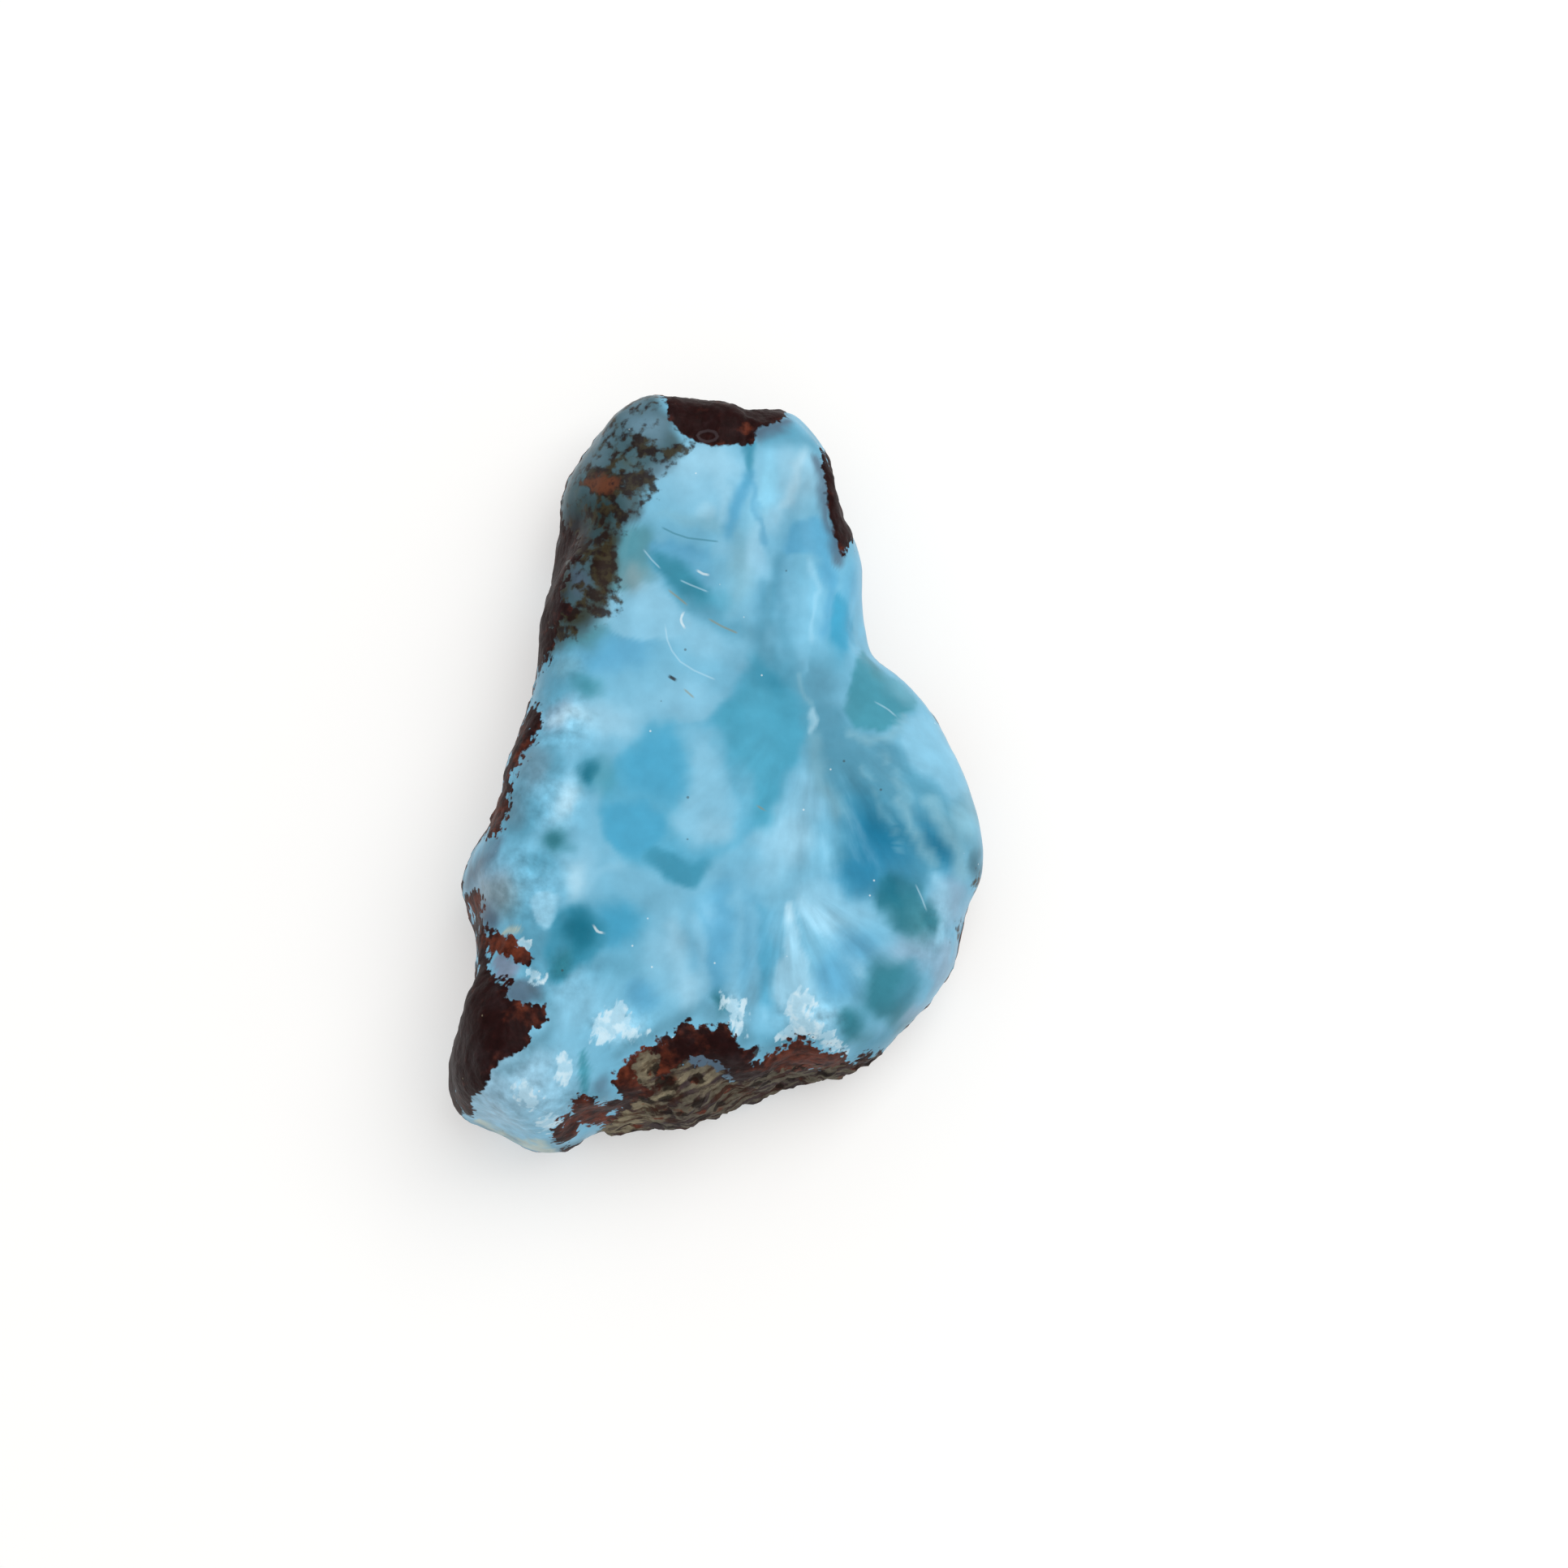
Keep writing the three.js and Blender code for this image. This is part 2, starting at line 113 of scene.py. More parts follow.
# Soft ovals of colour, painted in turn: colour, middle, reach each way, turn in degrees, strength
WASHES = [
    # narrow end
    ("pale", (870, 585), (72, 46), 0, 0.9),
    ("ice", (852, 570), (36, 18), -15, 0.7),
    ("ice", (985, 585), (34, 46), 10, 0.9),
    ("bright cyan", (942, 612), (14, 52), 5, 1.0),
    ("blue", (905, 622), (11, 40), 12, 0.7),
    ("mist", (860, 640), (56, 10), 8, 0.6),
    ("snow", (867, 627), (12, 10), 0, 0.35),
    ("mist", (912, 700), (20, 50), 8, 0.9),
    ("ice", (934, 676), (13, 40), 5, 0.9),
    ("pale", (890, 672), (14, 18), 0, 0.7),
    ("pale", (795, 742), (40, 20), 20, 0.9),
    ("pale", (870, 790), (50, 24), 20, 0.7),
    ("blue", (760, 803), (50, 28), -12, 0.95),
    ("sage", (720, 782), (38, 15), -20, 0.8),
    ("pale", (840, 862), (56, 28), 0, 0.7),
    # ribs below it on the right
    ("sky", (975, 745), (26, 56), 5, 0.8),
    ("blue", (1014, 708), (20, 20), 30, 0.8),
    ("pool", (1037, 775), (13, 36), 10, 1.0),
    ("blue", (1050, 720), (12, 30), 0, 0.5),
    ("slate", (1006, 850), (28, 48), 10, 0.7),
    # left bank
    ("slate", (682, 835), (32, 36), 10, 0.7),
    ("mist", (700, 822), (18, 14), 0, 0.5),
    ("shoulder", (722, 848), (18, 15), 0, 0.9),
    ("ice", (745, 884), (44, 22), 0, 0.9),
    ("lilac", (686, 882), (22, 18), 0, 0.8),
    ("slate", (676, 940), (26, 18), 0, 0.8),
    ("slate", (640, 1008), (24, 34), 10, 0.9),
    ("ice", (698, 988), (20, 32), 20, 0.9),
    ("pale", (716, 1070), (20, 36), 0, 0.8),
    ("sky", (645, 1065), (34, 26), 0, 0.6),
    ("sea", (686, 1036), (16, 16), 0, 1.0),
    ("teal", (668, 1062), (20, 14), 0, 0.4),
    ("snow", (700, 884), (26, 10), 0, 0.6),
    ("snow", (698, 990), (14, 22), 0, 0.6),
    ("snow", (706, 1088), (13, 24), 0, 0.6),
    # right side
    ("ice", (968, 1030), (34, 44), 25, 0.9),
    ("pale", (1000, 975), (20, 40), 20, 0.7),
    ("pale", (940, 1075), (40, 18), -25, 0.7),
    ("ice", (1018, 1128), (40, 24), 42, 0.95),
    ("blue", (1050, 1105), (40, 22), 10, 0.6),
    ("lilac", (1172, 1108), (20, 36), -15, 0.8),
    ("lilac", (1130, 1172), (40, 26), 0, 0.8),
    ("blue", (1060, 1160), (28, 22), 30, 0.6),
    # lower left
    ("slate", (662, 1165), (36, 36), 0, 0.9),
    ("slate", (672, 1225), (24, 26), 0, 0.8),
    ("slate", (755, 1190), (50, 20), 0, 0.5),
    ("pool", (762, 1138), (44, 28), 0, 0.95),
    ("pale", (822, 1168), (34, 54), 0, 0.8),
    ("blue", (791, 1226), (24, 18), 0, 0.9),
    ("pale", (702, 1236), (40, 36), 0, 0.7),
    ("pale", (650, 1345), (70, 50), 0, 0.7),
    ("slate", (662, 1286), (24, 16), 0, 0.7),
    ("ice", (764, 1263), (30, 21), 10, 1.0),
    ("ice", (648, 1346), (16, 16), 0, 0.9),
    ("ice", (672, 1382), (14, 10), 0, 0.8),
    ("dusk", (744, 1338), (12, 16), 0, 0.5),
    ("lilac", (606, 1095), (24, 34), 0, 0.9),
    ("slate", (640, 1128), (24, 12), 10, 0.6),
    ("cotton", (640, 1335), (64, 56), 0, 0.7),
    ("cotton", (600, 1350), (26, 40), 0, 0.6),
    # painted shade along the lower edge of the lower-left lobe
    ("rim shade", (616, 1408), (44, 11), 22, 0.9),
    ("rim shade", (690, 1420), (40, 11), -8, 0.9),
    # lower right
    ("blue", (900, 1160), (50, 66), 0, 0.8),
    ("pool", (950, 1196), (11, 42), 5, 0.5),
    ("blue", (1028, 1202), (26, 30), -20, 0.9),
    ("sea", (884, 1234), (9, 18), 0, 0.9),
    ("pale", (1040, 1114), (52, 22), 12, 0.8),
    ("lilac", (1122, 1252), (26, 13), -45, 0.9),
    ("lilac", (1162, 1190), (12, 36), 15, 0.8),
    ("ice", (905, 1242), (14, 22), -25, 0.9),
    ("ice", (984, 1222), (30, 22), 0, 0.95),
    ("ice", (850, 1222), (15, 20), 0, 0.8),
    ("ice", (1000, 1254), (38, 22), 5, 0.95),
    ("slate", (1080, 1292), (44, 16), -38, 0.9),
    ("slate", (960, 1280), (40, 10), 0, 0.5),
]

# Pools of colour with an edge: colour, strength, softness of the edge, outline
POOLS = [
    ("sage", 0.85, 12,
     [(750, 655), (800, 640), (815, 668), (808, 700), (800, 722), (770, 745), (745, 750), (740, 700)]),
    ("rind", 0.95, 8,
     [(790, 470), (812, 490), (826, 515), (838, 535), (850, 552), (815, 575), (800, 605), (782, 640),
      (764, 655), (757, 690), (760, 745), (735, 764), (700, 790), (668, 812), (640, 800), (660, 740),
      (672, 690), (685, 650), (685, 610), (695, 580), (730, 525), (750, 495)]),
    ("blue", 0.85, 5,
     [(966, 662), (984, 646), (1005, 638), (1024, 648), (1032, 670), (1024, 692), (1000, 686),
      (960, 690)]),
    ("blue", 0.8, 7,
     [(800, 660), (835, 668), (866, 672), (880, 690), (880, 712), (866, 740), (845, 738), (826, 722),
      (806, 694)]),
    ("lens teal", 0.85, 10,
     [(806, 682), (812, 700), (825, 722), (838, 737), (852, 747), (876, 752), (884, 738), (866, 712),
      (846, 694), (826, 684)]),
    ("pale", 0.8, 4,
     [(746, 744), (772, 728), (800, 716), (812, 720), (824, 734), (836, 746), (852, 756), (862, 776),
      (822, 792), (772, 784), (746, 764)]),
    ("twin", 0.85, 9,
     [(742, 1000), (748, 1030), (765, 1053), (790, 1068), (815, 1083), (840, 1092), (858, 1085),
      (870, 1068), (895, 1052), (915, 1040), (938, 1012), (955, 985), (970, 960), (980, 930), (992, 900),
      (992, 880), (985, 855), (965, 835), (950, 812), (930, 812), (905, 840), (885, 865), (860, 890),
      (820, 895), (785, 905), (760, 930), (745, 960)]),
    ("pale", 0.85, 18,
     [(846, 900), (878, 892), (892, 930), (900, 980), (918, 1008), (905, 1040), (870, 1048), (840, 1036),
      (822, 1012), (840, 990), (848, 950)]),
    ("lagoon", 0.8, 16,
     [(876, 882), (890, 858), (915, 846), (930, 818), (940, 806), (955, 826), (984, 854), (994, 888),
      (984, 930), (966, 964), (956, 1000), (942, 1020), (922, 1000), (908, 960), (895, 925)]),
    ("pool", 0.8, 18,
     [(772, 925), (790, 906), (820, 900), (842, 915), (848, 945), (840, 975), (810, 985), (780, 978),
      (768, 950)]),
    ("pool", 0.9, 8,
     [(743, 1005), (760, 993), (785, 988), (806, 1000), (818, 1022), (812, 1046), (795, 1058),
      (770, 1052), (752, 1034)]),
    ("teal", 0.85, 6,
     [(794, 1053), (815, 1044), (840, 1058), (878, 1062), (872, 1080), (856, 1094), (830, 1089),
      (804, 1077)]),
    ("slate", 0.9, 13,
     [(990, 862), (1045, 875), (1055, 905), (1105, 910), (1125, 945), (1165, 985), (1200, 1000),
      (1205, 1050), (1160, 1062), (1135, 1080), (1130, 1140), (1100, 1140), (1070, 1100), (1042, 1092),
      (1028, 1050), (1030, 1010), (1012, 960), (990, 920)]),
    ("shoulder", 0.95, 4,
     [(1050, 815), (1060, 795), (1075, 810), (1085, 835), (1120, 850), (1138, 865), (1120, 885),
      (1095, 900), (1070, 905), (1050, 895), (1045, 860)]),
    ("pale", 0.75, 6,
     [(1108, 910), (1124, 888), (1150, 868), (1180, 905), (1200, 945), (1206, 985), (1180, 980),
      (1158, 968), (1136, 952), (1117, 935)]),
    ("sea", 0.9, 9,
     [(1082, 1085), (1100, 1077), (1128, 1083), (1142, 1110), (1146, 1138), (1125, 1150), (1096, 1140),
      (1085, 1115)]),
    ("sky", 0.8, 3,
     [(957, 695), (972, 687), (995, 687), (1003, 700), (1006, 732), (1005, 782), (998, 832), (982, 832),
      (963, 792), (954, 742)]),
    ("pool", 0.9, 4,
     [(1027, 733), (1039, 736), (1048, 765), (1046, 802), (1036, 810), (1029, 780)]),
    ("teal", 0.85, 8,
     [(684, 1118), (712, 1116), (742, 1130), (748, 1160), (734, 1186), (706, 1198), (690, 1218),
      (674, 1208), (670, 1180), (680, 1150)]),
    ("ice", 0.8, 3,
     [(653, 1100), (672, 1091), (685, 1100), (686, 1143), (670, 1143), (655, 1128)]),
    ("violet", 0.9, 3,
     [(607, 1180), (622, 1175), (635, 1182), (642, 1196), (630, 1208), (613, 1202)]),
    ("dusk", 0.8, 7,
     [(622, 1210), (645, 1206), (664, 1212), (668, 1232), (640, 1240), (626, 1234)]),
    ("dusk", 0.9, 4,
     [(838, 1296), (868, 1286), (894, 1288), (914, 1306), (914, 1334), (890, 1332), (862, 1320),
      (840, 1316)]),
    ("shoulder", 0.9, 2,
     [(711, 1302), (718, 1290), (725, 1310), (728, 1342), (716, 1352), (713, 1325)]),
    ("ice", 0.9, 4,
     [(967, 1108), (973, 1108), (982, 1150), (991, 1185), (998, 1225), (986, 1242), (960, 1242),
      (958, 1226), (965, 1180), (967, 1140)]),
    ("ice", 0.75, 5,
     [(980, 1102), (1010, 1118), (1042, 1147), (1071, 1190), (1063, 1202), (1030, 1168), (1000, 1140),
      (982, 1122)]),
    ("sea", 0.85, 14,
     [(1062, 1215), (1075, 1190), (1095, 1178), (1118, 1188), (1128, 1215), (1120, 1245), (1110, 1268),
      (1094, 1264), (1075, 1250), (1062, 1240)]),
    ("sea", 0.85, 12,
     [(1036, 1258), (1050, 1243), (1064, 1252), (1068, 1276), (1056, 1292), (1040, 1286)]),
]

# Soft ovals painted over the pools
OVERWASHES = [
    ("dark teal", (713, 1152), (18, 30), 5, 0.75),
    ("sea", (690, 1190), (16, 18), 20, 0.8),
    ("slate", (1116, 1215), (10, 34), 10, 0.5),
    # the twin pool
    ("sky", (860, 905), (34, 16), 0, 0.7),
    ("sky", (893, 840), (20, 18), 0, 0.8),
    ("teal", (950, 832), (26, 22), 30, 0.9),
    ("sky", (886, 704), (26, 20), 35, 0.7),
    ("haze", (783, 712), (20, 18), 0, 0.7),
    ("dark teal", (724, 956), (13, 22), 15, 0.9),
    ("shoulder", (746, 956), (18, 24), 0, 0.7),
    # the deep side
    ("deep", (1082, 1036), (62, 36), 52, 1.0),
    ("deep", (1149, 1040), (44, 18), 60, 0.75),
    ("deep", (1064, 1072), (30, 22), 60, 0.9),
    ("dark teal", (1098, 1102), (14, 22), 0, 0.7),
    ("shoulder", (1130, 1122), (14, 20), 0, 0.5),
    ("deep", (1050, 1086), (26, 15), 40, 0.5),
    # painted shade along the right edge
    ("rim shade", (1203, 1064), (9, 22), 0, 1.0),
    ("mist", (1190, 1008), (16, 36), -10, 0.9),
    ("sage", (1140, 1140), (20, 26), 0, 0.6),
    ("sea", (1150, 1126), (11, 18), 0, 0.8),
    ("blue", (1052, 1168), (26, 20), 30, 0.8),
    ("ice", (957, 636), (16, 20), 20, 0.8),
    ("ice", (884, 572), (24, 18), 0, 0.8),
    ("lagoon", (888, 742), (15, 18), 0, 0.5),
    ("sky", (916, 972), (13, 30), -15, 0.6),
    ("ice", (880, 1020), (24, 18), 0, 0.5),
    # the greyer left edge
    ("pebble", (655, 945), (20, 28), 10, 0.8),
    ("pebble", (636, 1000), (13, 28), 12, 0.6),
    ("haze", (616, 1104), (24, 28), 0, 0.6),
    ("dusk", (602, 1130), (12, 20), 0, 0.8),
    # the rind
    ("rind pale", (796, 522), (34, 22), 0, 0.8),
    ("rind pale", (735, 552), (30, 18), -45, 0.4),
    ("rind pale", (815, 575), (16, 12), -30, 0.6),
    ("rind teal", (736, 630), (28, 24), -30, 0.9),
    ("maroon", (706, 662), (16, 26), 10, 0.9),
    ("olive", (745, 702), (13, 50), 0, 0.9),
    ("dusk", (712, 714), (13, 20), 0, 0.9),
    ("maroon", (686, 715), (13, 36), 12, 0.8),
    ("olive", (712, 756), (28, 10), -20, 0.6),
    # the shoulder's lighter corner
    ("mist", (1112, 854), (30, 14), 35, 0.45),
    ("sage", (1079, 828), (6, 18), -25, 0.5),
]

# Streaks: colour, half width, strength, points
STREAKS = [
    ("teal", 4, 0.8, [(919, 546), (921, 568), (914, 592)]),
    ("blue", 7, 0.8, [(916, 585), (904, 612), (896, 648)]),
    ("blue", 3, 0.6, [(921, 592), (931, 622), (946, 662)]),
    ("ice", 6, 0.6, [(885, 590), (890, 635)]),
    ("snow", 6, 0.5, [(995, 555), (980, 590), (968, 620)]),
    # painted shade on the darker side of a groove
    ("slate", 9, 0.8, [(944, 722), (940, 760), (945, 800), (968, 832)]),
    ("slate", 11, 0.6, [(852, 744), (890, 764), (930, 790)]),
    ("blue", 7, 0.8, [(1019, 694), (1023, 730), (1019, 775)]),
    ("ice", 3, 0.5, [(996, 698), (1001, 730), (999, 790)]),
    ("slate", 8, 0.5, [(958, 692), (956, 735), (964, 785), (986, 832)]),
    ("mist", 5, 0.7, [(1050, 906), (1075, 916), (1102, 906), (1116, 890)]),
    ("mist", 3, 0.5, [(985, 832), (997, 868)]),
    ("snow", 3, 0.6, [(996, 876), (993, 902)]),
    ("mist", 6, 0.7, [(1104, 982), (1130, 1028), (1146, 1062)]),
    ("mist", 10, 0.8, [(1148, 992), (1176, 1040), (1186, 1080)]),
    ("mist", 3, 0.4, [(1060, 945), (1090, 995), (1112, 1050)]),
    ("mist", 3, 0.5, [(1088, 932), (1104, 962), (1122, 992)]),
    ("ice", 5, 0.6, [(1150, 1075), (1165, 1120), (1160, 1160)]),
    ("ice", 9, 0.6, [(826, 1135), (838, 1190), (846, 1238)]),
    ("ice", 7, 0.4, [(856, 1130), (866, 1180), (868, 1225)]),
    ("blue", 8, 0.5, [(892, 1095), (882, 1160), (882, 1222)]),
    ("pale", 8, 0.5, [(910, 1105), (908, 1165), (900, 1218)]),
    ("pool", 7, 0.3, [(940, 1120), (946, 1170), (942, 1228)]),
    ("pale", 7, 0.35, [(926, 1120), (928, 1180), (924, 1230)]),
    ("cream", 2.5, 0.7, [(588, 1384), (620, 1399), (655, 1410), (682, 1418)]),
    ("cream", 4, 0.8, [(620, 1152), (634, 1147)]),
    ("snow", 5, 0.7, [(970, 1112), (974, 1130)]),
    ("pale", 6, 0.5, [(720, 1095), (735, 1075), (765, 1068)]),
    ("rind pale", 6, 0.6, [(570, 1265), (562, 1300), (562, 1330)]),
    ("mist", 9, 0.6, [(1002, 908), (1013, 950), (1030, 1000)]),
    # painted shade along the left edge
    ("dusk", 7, 0.6, [(612, 1040), (591, 1064), (577, 1094)]),
    # shade beside the crust
    ("rim shade", 8, 0.35,
     [(768, 1298), (800, 1278), (832, 1258), (852, 1246), (880, 1252), (908, 1256), (922, 1284)]),
    ("rim shade", 7, 0.35, [(940, 1296), (965, 1280), (985, 1270), (1006, 1276)]),
    ("rim shade", 7, 0.35, [(662, 1228), (683, 1246), (678, 1266), (661, 1282), (640, 1306), (616, 1320)]),
    ("rim shade", 7, 0.35, [(700, 1360), (716, 1342), (740, 1352)]),
    ("slate", 13, 0.7, [(940, 542), (975, 532), (1000, 546)]),
    ("dusk", 8, 0.8, [(932, 535), (950, 530), (968, 520)]),
    ("dusk", 6, 0.7, [(1009, 566), (1014, 600), (1018, 630), (1025, 662), (1034, 688)]),
]

# Thin lines with a crisp edge, by colour: half width, strength, points of each line
LINES = {
    # white: small chips and ticks, drawn white as painted highlights
    "white": (1.4, 0.6, [
        [(841, 757), (839, 761), (839, 766), (842, 771)],
        [(861, 704), (866, 707), (871, 708)],
        [(733, 1143), (736, 1148), (741, 1149)],
    ]),
    # snow: the first two are scratches, drawn pale as painted highlights
    "snow": (1.0, 0.38, [
        [(1082, 867), (1093, 873), (1103, 882)],
        [(1130, 1094), (1136, 1107), (1140, 1118)],
        [(795, 680), (803, 690), (811, 698)],
        [(841, 716), (852, 721), (869, 728)],
        [(820, 774), (822, 788), (828, 802), (838, 815), (855, 826), (878, 836)],
    ]),
    "sea": (1.1, 0.5, [
        [(818, 651), (830, 657), (848, 663), (882, 667)],
    ]),
    "ochre": (1.2, 0.5, [
        [(826, 729), (834, 735), (844, 743)],
        [(876, 764), (890, 772), (906, 779)],
        [(845, 851), (853, 858)],
        [(935, 994), (940, 997)],
    ]),
    "fleck": (2.0, 0.9, [
        [(826, 834), (831, 837)],
    ]),
    "crust sheen": (1.6, 0.6, [
        [(859, 538), (863, 533), (872, 531), (881, 533), (885, 538), (881, 543), (872, 545), (863, 543),
         (859, 538)],
    ]),
}
LINE_EDGE = (1.5, 0.5)  # from bare to full colour, in half widths
LINE_END = 4  # pixels, as the next two
LINE_REACH = 9
LINE_FADE = 3

# Fans of fibres: apex, middle direction and half spread in degrees, nearest and farthest radius, strength
FANS = [
    ((970, 1080), 72, 45, 30, 190, 0.8),
    ((905, 700), 93, 14, 380, 560, 0.8),
    ((1000, 880), 62, 45, 60, 270, 0.7),
    ((985, 860), 112, 30, 60, 230, 0.4),
    ((990, 330), 95, 17, 230, 540, 0.6),
    ((690, 1330), -80, 80, 40, 190, 0.4),
]
FAN_EDGE = 12  # degrees
FAN_RADIUS_FADE = 40  # pixels

# Outlines of brown iron crust, and of host rock
CRUSTS = [
    [(822, 502), (800, 455), (960, 455), (972, 514), (958, 521), (945, 526), (931, 527), (931, 546),
     (920, 551), (903, 547), (880, 551), (862, 548), (848, 539), (833, 529), (824, 517)],
    [(1008, 552), (1020, 552), (1034, 590), (1044, 625), (1048, 650), (1046, 678), (1040, 688),
     (1033, 682), (1025, 655), (1020, 630), (1017, 600), (1012, 575)],
    [(684, 640), (702, 648), (713, 662), (714, 690), (702, 699), (697, 715), (692, 742), (704, 752),
     (694, 768), (672, 778), (650, 770), (660, 735), (672, 690)],
    [(664, 770), (684, 772), (684, 800), (668, 830), (650, 830)],
    [(585, 1135), (597, 1148), (604, 1165), (604, 1190), (610, 1207), (622, 1213), (628, 1236),
     (660, 1236), (675, 1246), (672, 1262), (651, 1271), (655, 1288), (632, 1299), (610, 1314),
     (600, 1334), (592, 1347), (582, 1352), (588, 1370), (580, 1375), (555, 1365), (535, 1330),
     (535, 1270), (550, 1240), (575, 1225), (585, 1205), (585, 1180)],
    [(598, 1146), (615, 1144), (623, 1156), (636, 1152), (640, 1164), (628, 1180), (610, 1176),
     (600, 1165)],
    [(626, 1170), (640, 1164), (656, 1176), (652, 1191), (634, 1186)],
    [(606, 1204), (634, 1204), (634, 1214), (612, 1216)],
    [(574, 1098), (590, 1096), (596, 1110), (592, 1124), (602, 1138), (606, 1152), (590, 1150),
     (578, 1128)],
    [(657, 856), (669, 885), (663, 906), (650, 920), (645, 935), (632, 952), (631, 975), (627, 1000),
     (620, 1030), (590, 1035), (600, 1000), (612, 960), (627, 925), (640, 890)],
    [(756, 1336), (762, 1320), (772, 1302), (786, 1296), (800, 1286), (808, 1278), (818, 1284),
     (822, 1270), (828, 1284), (833, 1268), (840, 1256), (851, 1256), (857, 1270), (867, 1259),
     (878, 1265), (890, 1259), (900, 1265), (906, 1280), (914, 1291), (926, 1294), (930, 1290),
     (932, 1299), (924, 1310), (937, 1308), (947, 1301), (958, 1292), (970, 1287), (977, 1275),
     (986, 1281), (1000, 1277), (1004, 1290), (1022, 1293), (1036, 1296), (1048, 1304), (1046, 1316),
     (1013, 1322), (985, 1324), (961, 1334), (937, 1342), (921, 1338), (905, 1344), (900, 1322),
     (885, 1307), (866, 1301), (850, 1303), (833, 1314), (820, 1332), (800, 1346), (780, 1352),
     (766, 1356)],
    [(701, 1370), (711, 1346), (726, 1348), (738, 1355), (751, 1371), (746, 1387), (728, 1386),
     (710, 1384)],
    [(677, 1398), (686, 1385), (694, 1373), (706, 1371), (716, 1383), (712, 1399), (700, 1410),
     (684, 1410)],
    [(743, 1362), (755, 1351), (766, 1358), (758, 1371), (746, 1369)],
    [(741, 1380), (754, 1368), (764, 1373), (751, 1387)],
    [(762, 1345), (800, 1332), (834, 1303), (848, 1312), (868, 1314), (890, 1318), (902, 1332),
     (925, 1332), (960, 1324), (1010, 1312), (1050, 1302), (1085, 1292), (1090, 1325), (1000, 1370),
     (850, 1420), (745, 1420), (738, 1396), (760, 1372)],
]
ROCKS = [
    [(730, 1400), (745, 1386), (762, 1376), (774, 1360), (790, 1351), (806, 1340), (819, 1330),
     (834, 1314), (848, 1305), (855, 1318), (867, 1309), (882, 1313), (894, 1328), (906, 1332),
     (925, 1330), (942, 1322), (962, 1314), (986, 1312), (1014, 1312), (1042, 1310), (1066, 1304),
     (1085, 1302), (1060, 1350), (1000, 1380), (950, 1400), (900, 1420), (860, 1430), (780, 1430),
     (730, 1415)],
    [(782, 1300), (796, 1296), (812, 1300), (816, 1318), (808, 1338), (790, 1340), (780, 1320)],
]

# Outlines of white crystal crests
CRESTS = [
    [(730, 1288), (728, 1268), (735, 1255), (746, 1247), (755, 1235), (763, 1230), (771, 1242),
     (775, 1254), (781, 1265), (798, 1268), (791, 1280), (776, 1281), (762, 1277), (752, 1282),
     (743, 1290)],
    [(889, 1228), (901, 1222), (910, 1233), (920, 1237), (919, 1251), (908, 1253), (907, 1260),
     (914, 1264), (920, 1283), (911, 1279), (905, 1264), (897, 1254), (891, 1244)],
    [(952, 1279), (956, 1269), (966, 1271), (968, 1260), (974, 1248), (969, 1234), (978, 1222),
     (989, 1219), (1001, 1227), (1003, 1239), (994, 1243), (996, 1252), (1010, 1257), (1014, 1271),
     (1022, 1267), (1029, 1280), (1036, 1285), (1046, 1292), (1037, 1299), (1024, 1294), (1012, 1285),
     (1000, 1278), (989, 1274), (977, 1280), (966, 1283)],
    [(632, 1340), (645, 1330), (656, 1342), (668, 1352), (662, 1366), (644, 1362)],
    [(660, 1380), (675, 1372), (690, 1378), (684, 1392), (666, 1392)],
    [(686, 1300), (702, 1302), (706, 1322), (698, 1338), (688, 1330)],
    [(638, 1156), (650, 1160), (654, 1170), (644, 1170)],
    [(648, 1196), (664, 1196), (676, 1206), (670, 1212), (656, 1206)],
]

# Outlines sprinkled with flecks of crust: level, outline. The higher the level, the denser the flecks.
SPECKLES = [
    (9, [(782, 536), (795, 545), (808, 533), (812, 555), (806, 569), (788, 570)]),
    (9, [(816, 552), (830, 546), (848, 546), (848, 560), (832, 566), (818, 574)]),
    (-1, [(742, 520), (760, 514), (772, 545), (768, 566), (748, 566)]),
    (11,
     [(716, 578), (738, 572), (770, 582), (785, 574), (797, 580), (796, 602), (772, 616), (745, 616),
      (722, 608)]),
    (7, [(800, 584), (810, 584), (810, 602), (800, 604)]),
    (3, [(718, 612), (760, 612), (764, 642), (735, 655), (716, 640)]),
    (14, [(740, 660), (758, 638), (784, 618), (792, 622), (778, 642), (758, 662), (744, 670)]),
    (4, [(700, 652), (722, 652), (727, 690), (704, 692)]),
    (6, [(724, 660), (750, 662), (762, 690), (762, 720), (728, 724)]),
    (4, [(712, 716), (758, 718), (764, 758), (736, 762), (712, 745)]),
    (7, [(672, 745), (720, 742), (722, 760), (690, 762), (668, 770)]),
    (8, [(678, 772), (712, 770), (714, 784), (690, 790), (664, 796)]),
    (2, [(762, 500), (785, 484), (814, 490), (806, 506), (785, 512)]),
    (-4,
     [(790, 470), (812, 490), (826, 515), (838, 535), (850, 552), (815, 575), (800, 605), (782, 640),
      (760, 660), (757, 690), (760, 745), (735, 764), (700, 790), (668, 812), (640, 800), (660, 740),
      (672, 690), (685, 650), (685, 610), (695, 580), (730, 525), (750, 495)]),
    (2, [(592, 1210), (625, 1210), (632, 1270), (600, 1290)]),
    (2, [(905, 1290), (935, 1292), (935, 1312), (908, 1312)]),
    (2, [(1200, 1075), (1225, 1075), (1222, 1105), (1200, 1102)]),
    (2, [(1178, 1140), (1200, 1140), (1195, 1162), (1178, 1160)]),
]
NO_CRUST = -40  # the field far from any crust

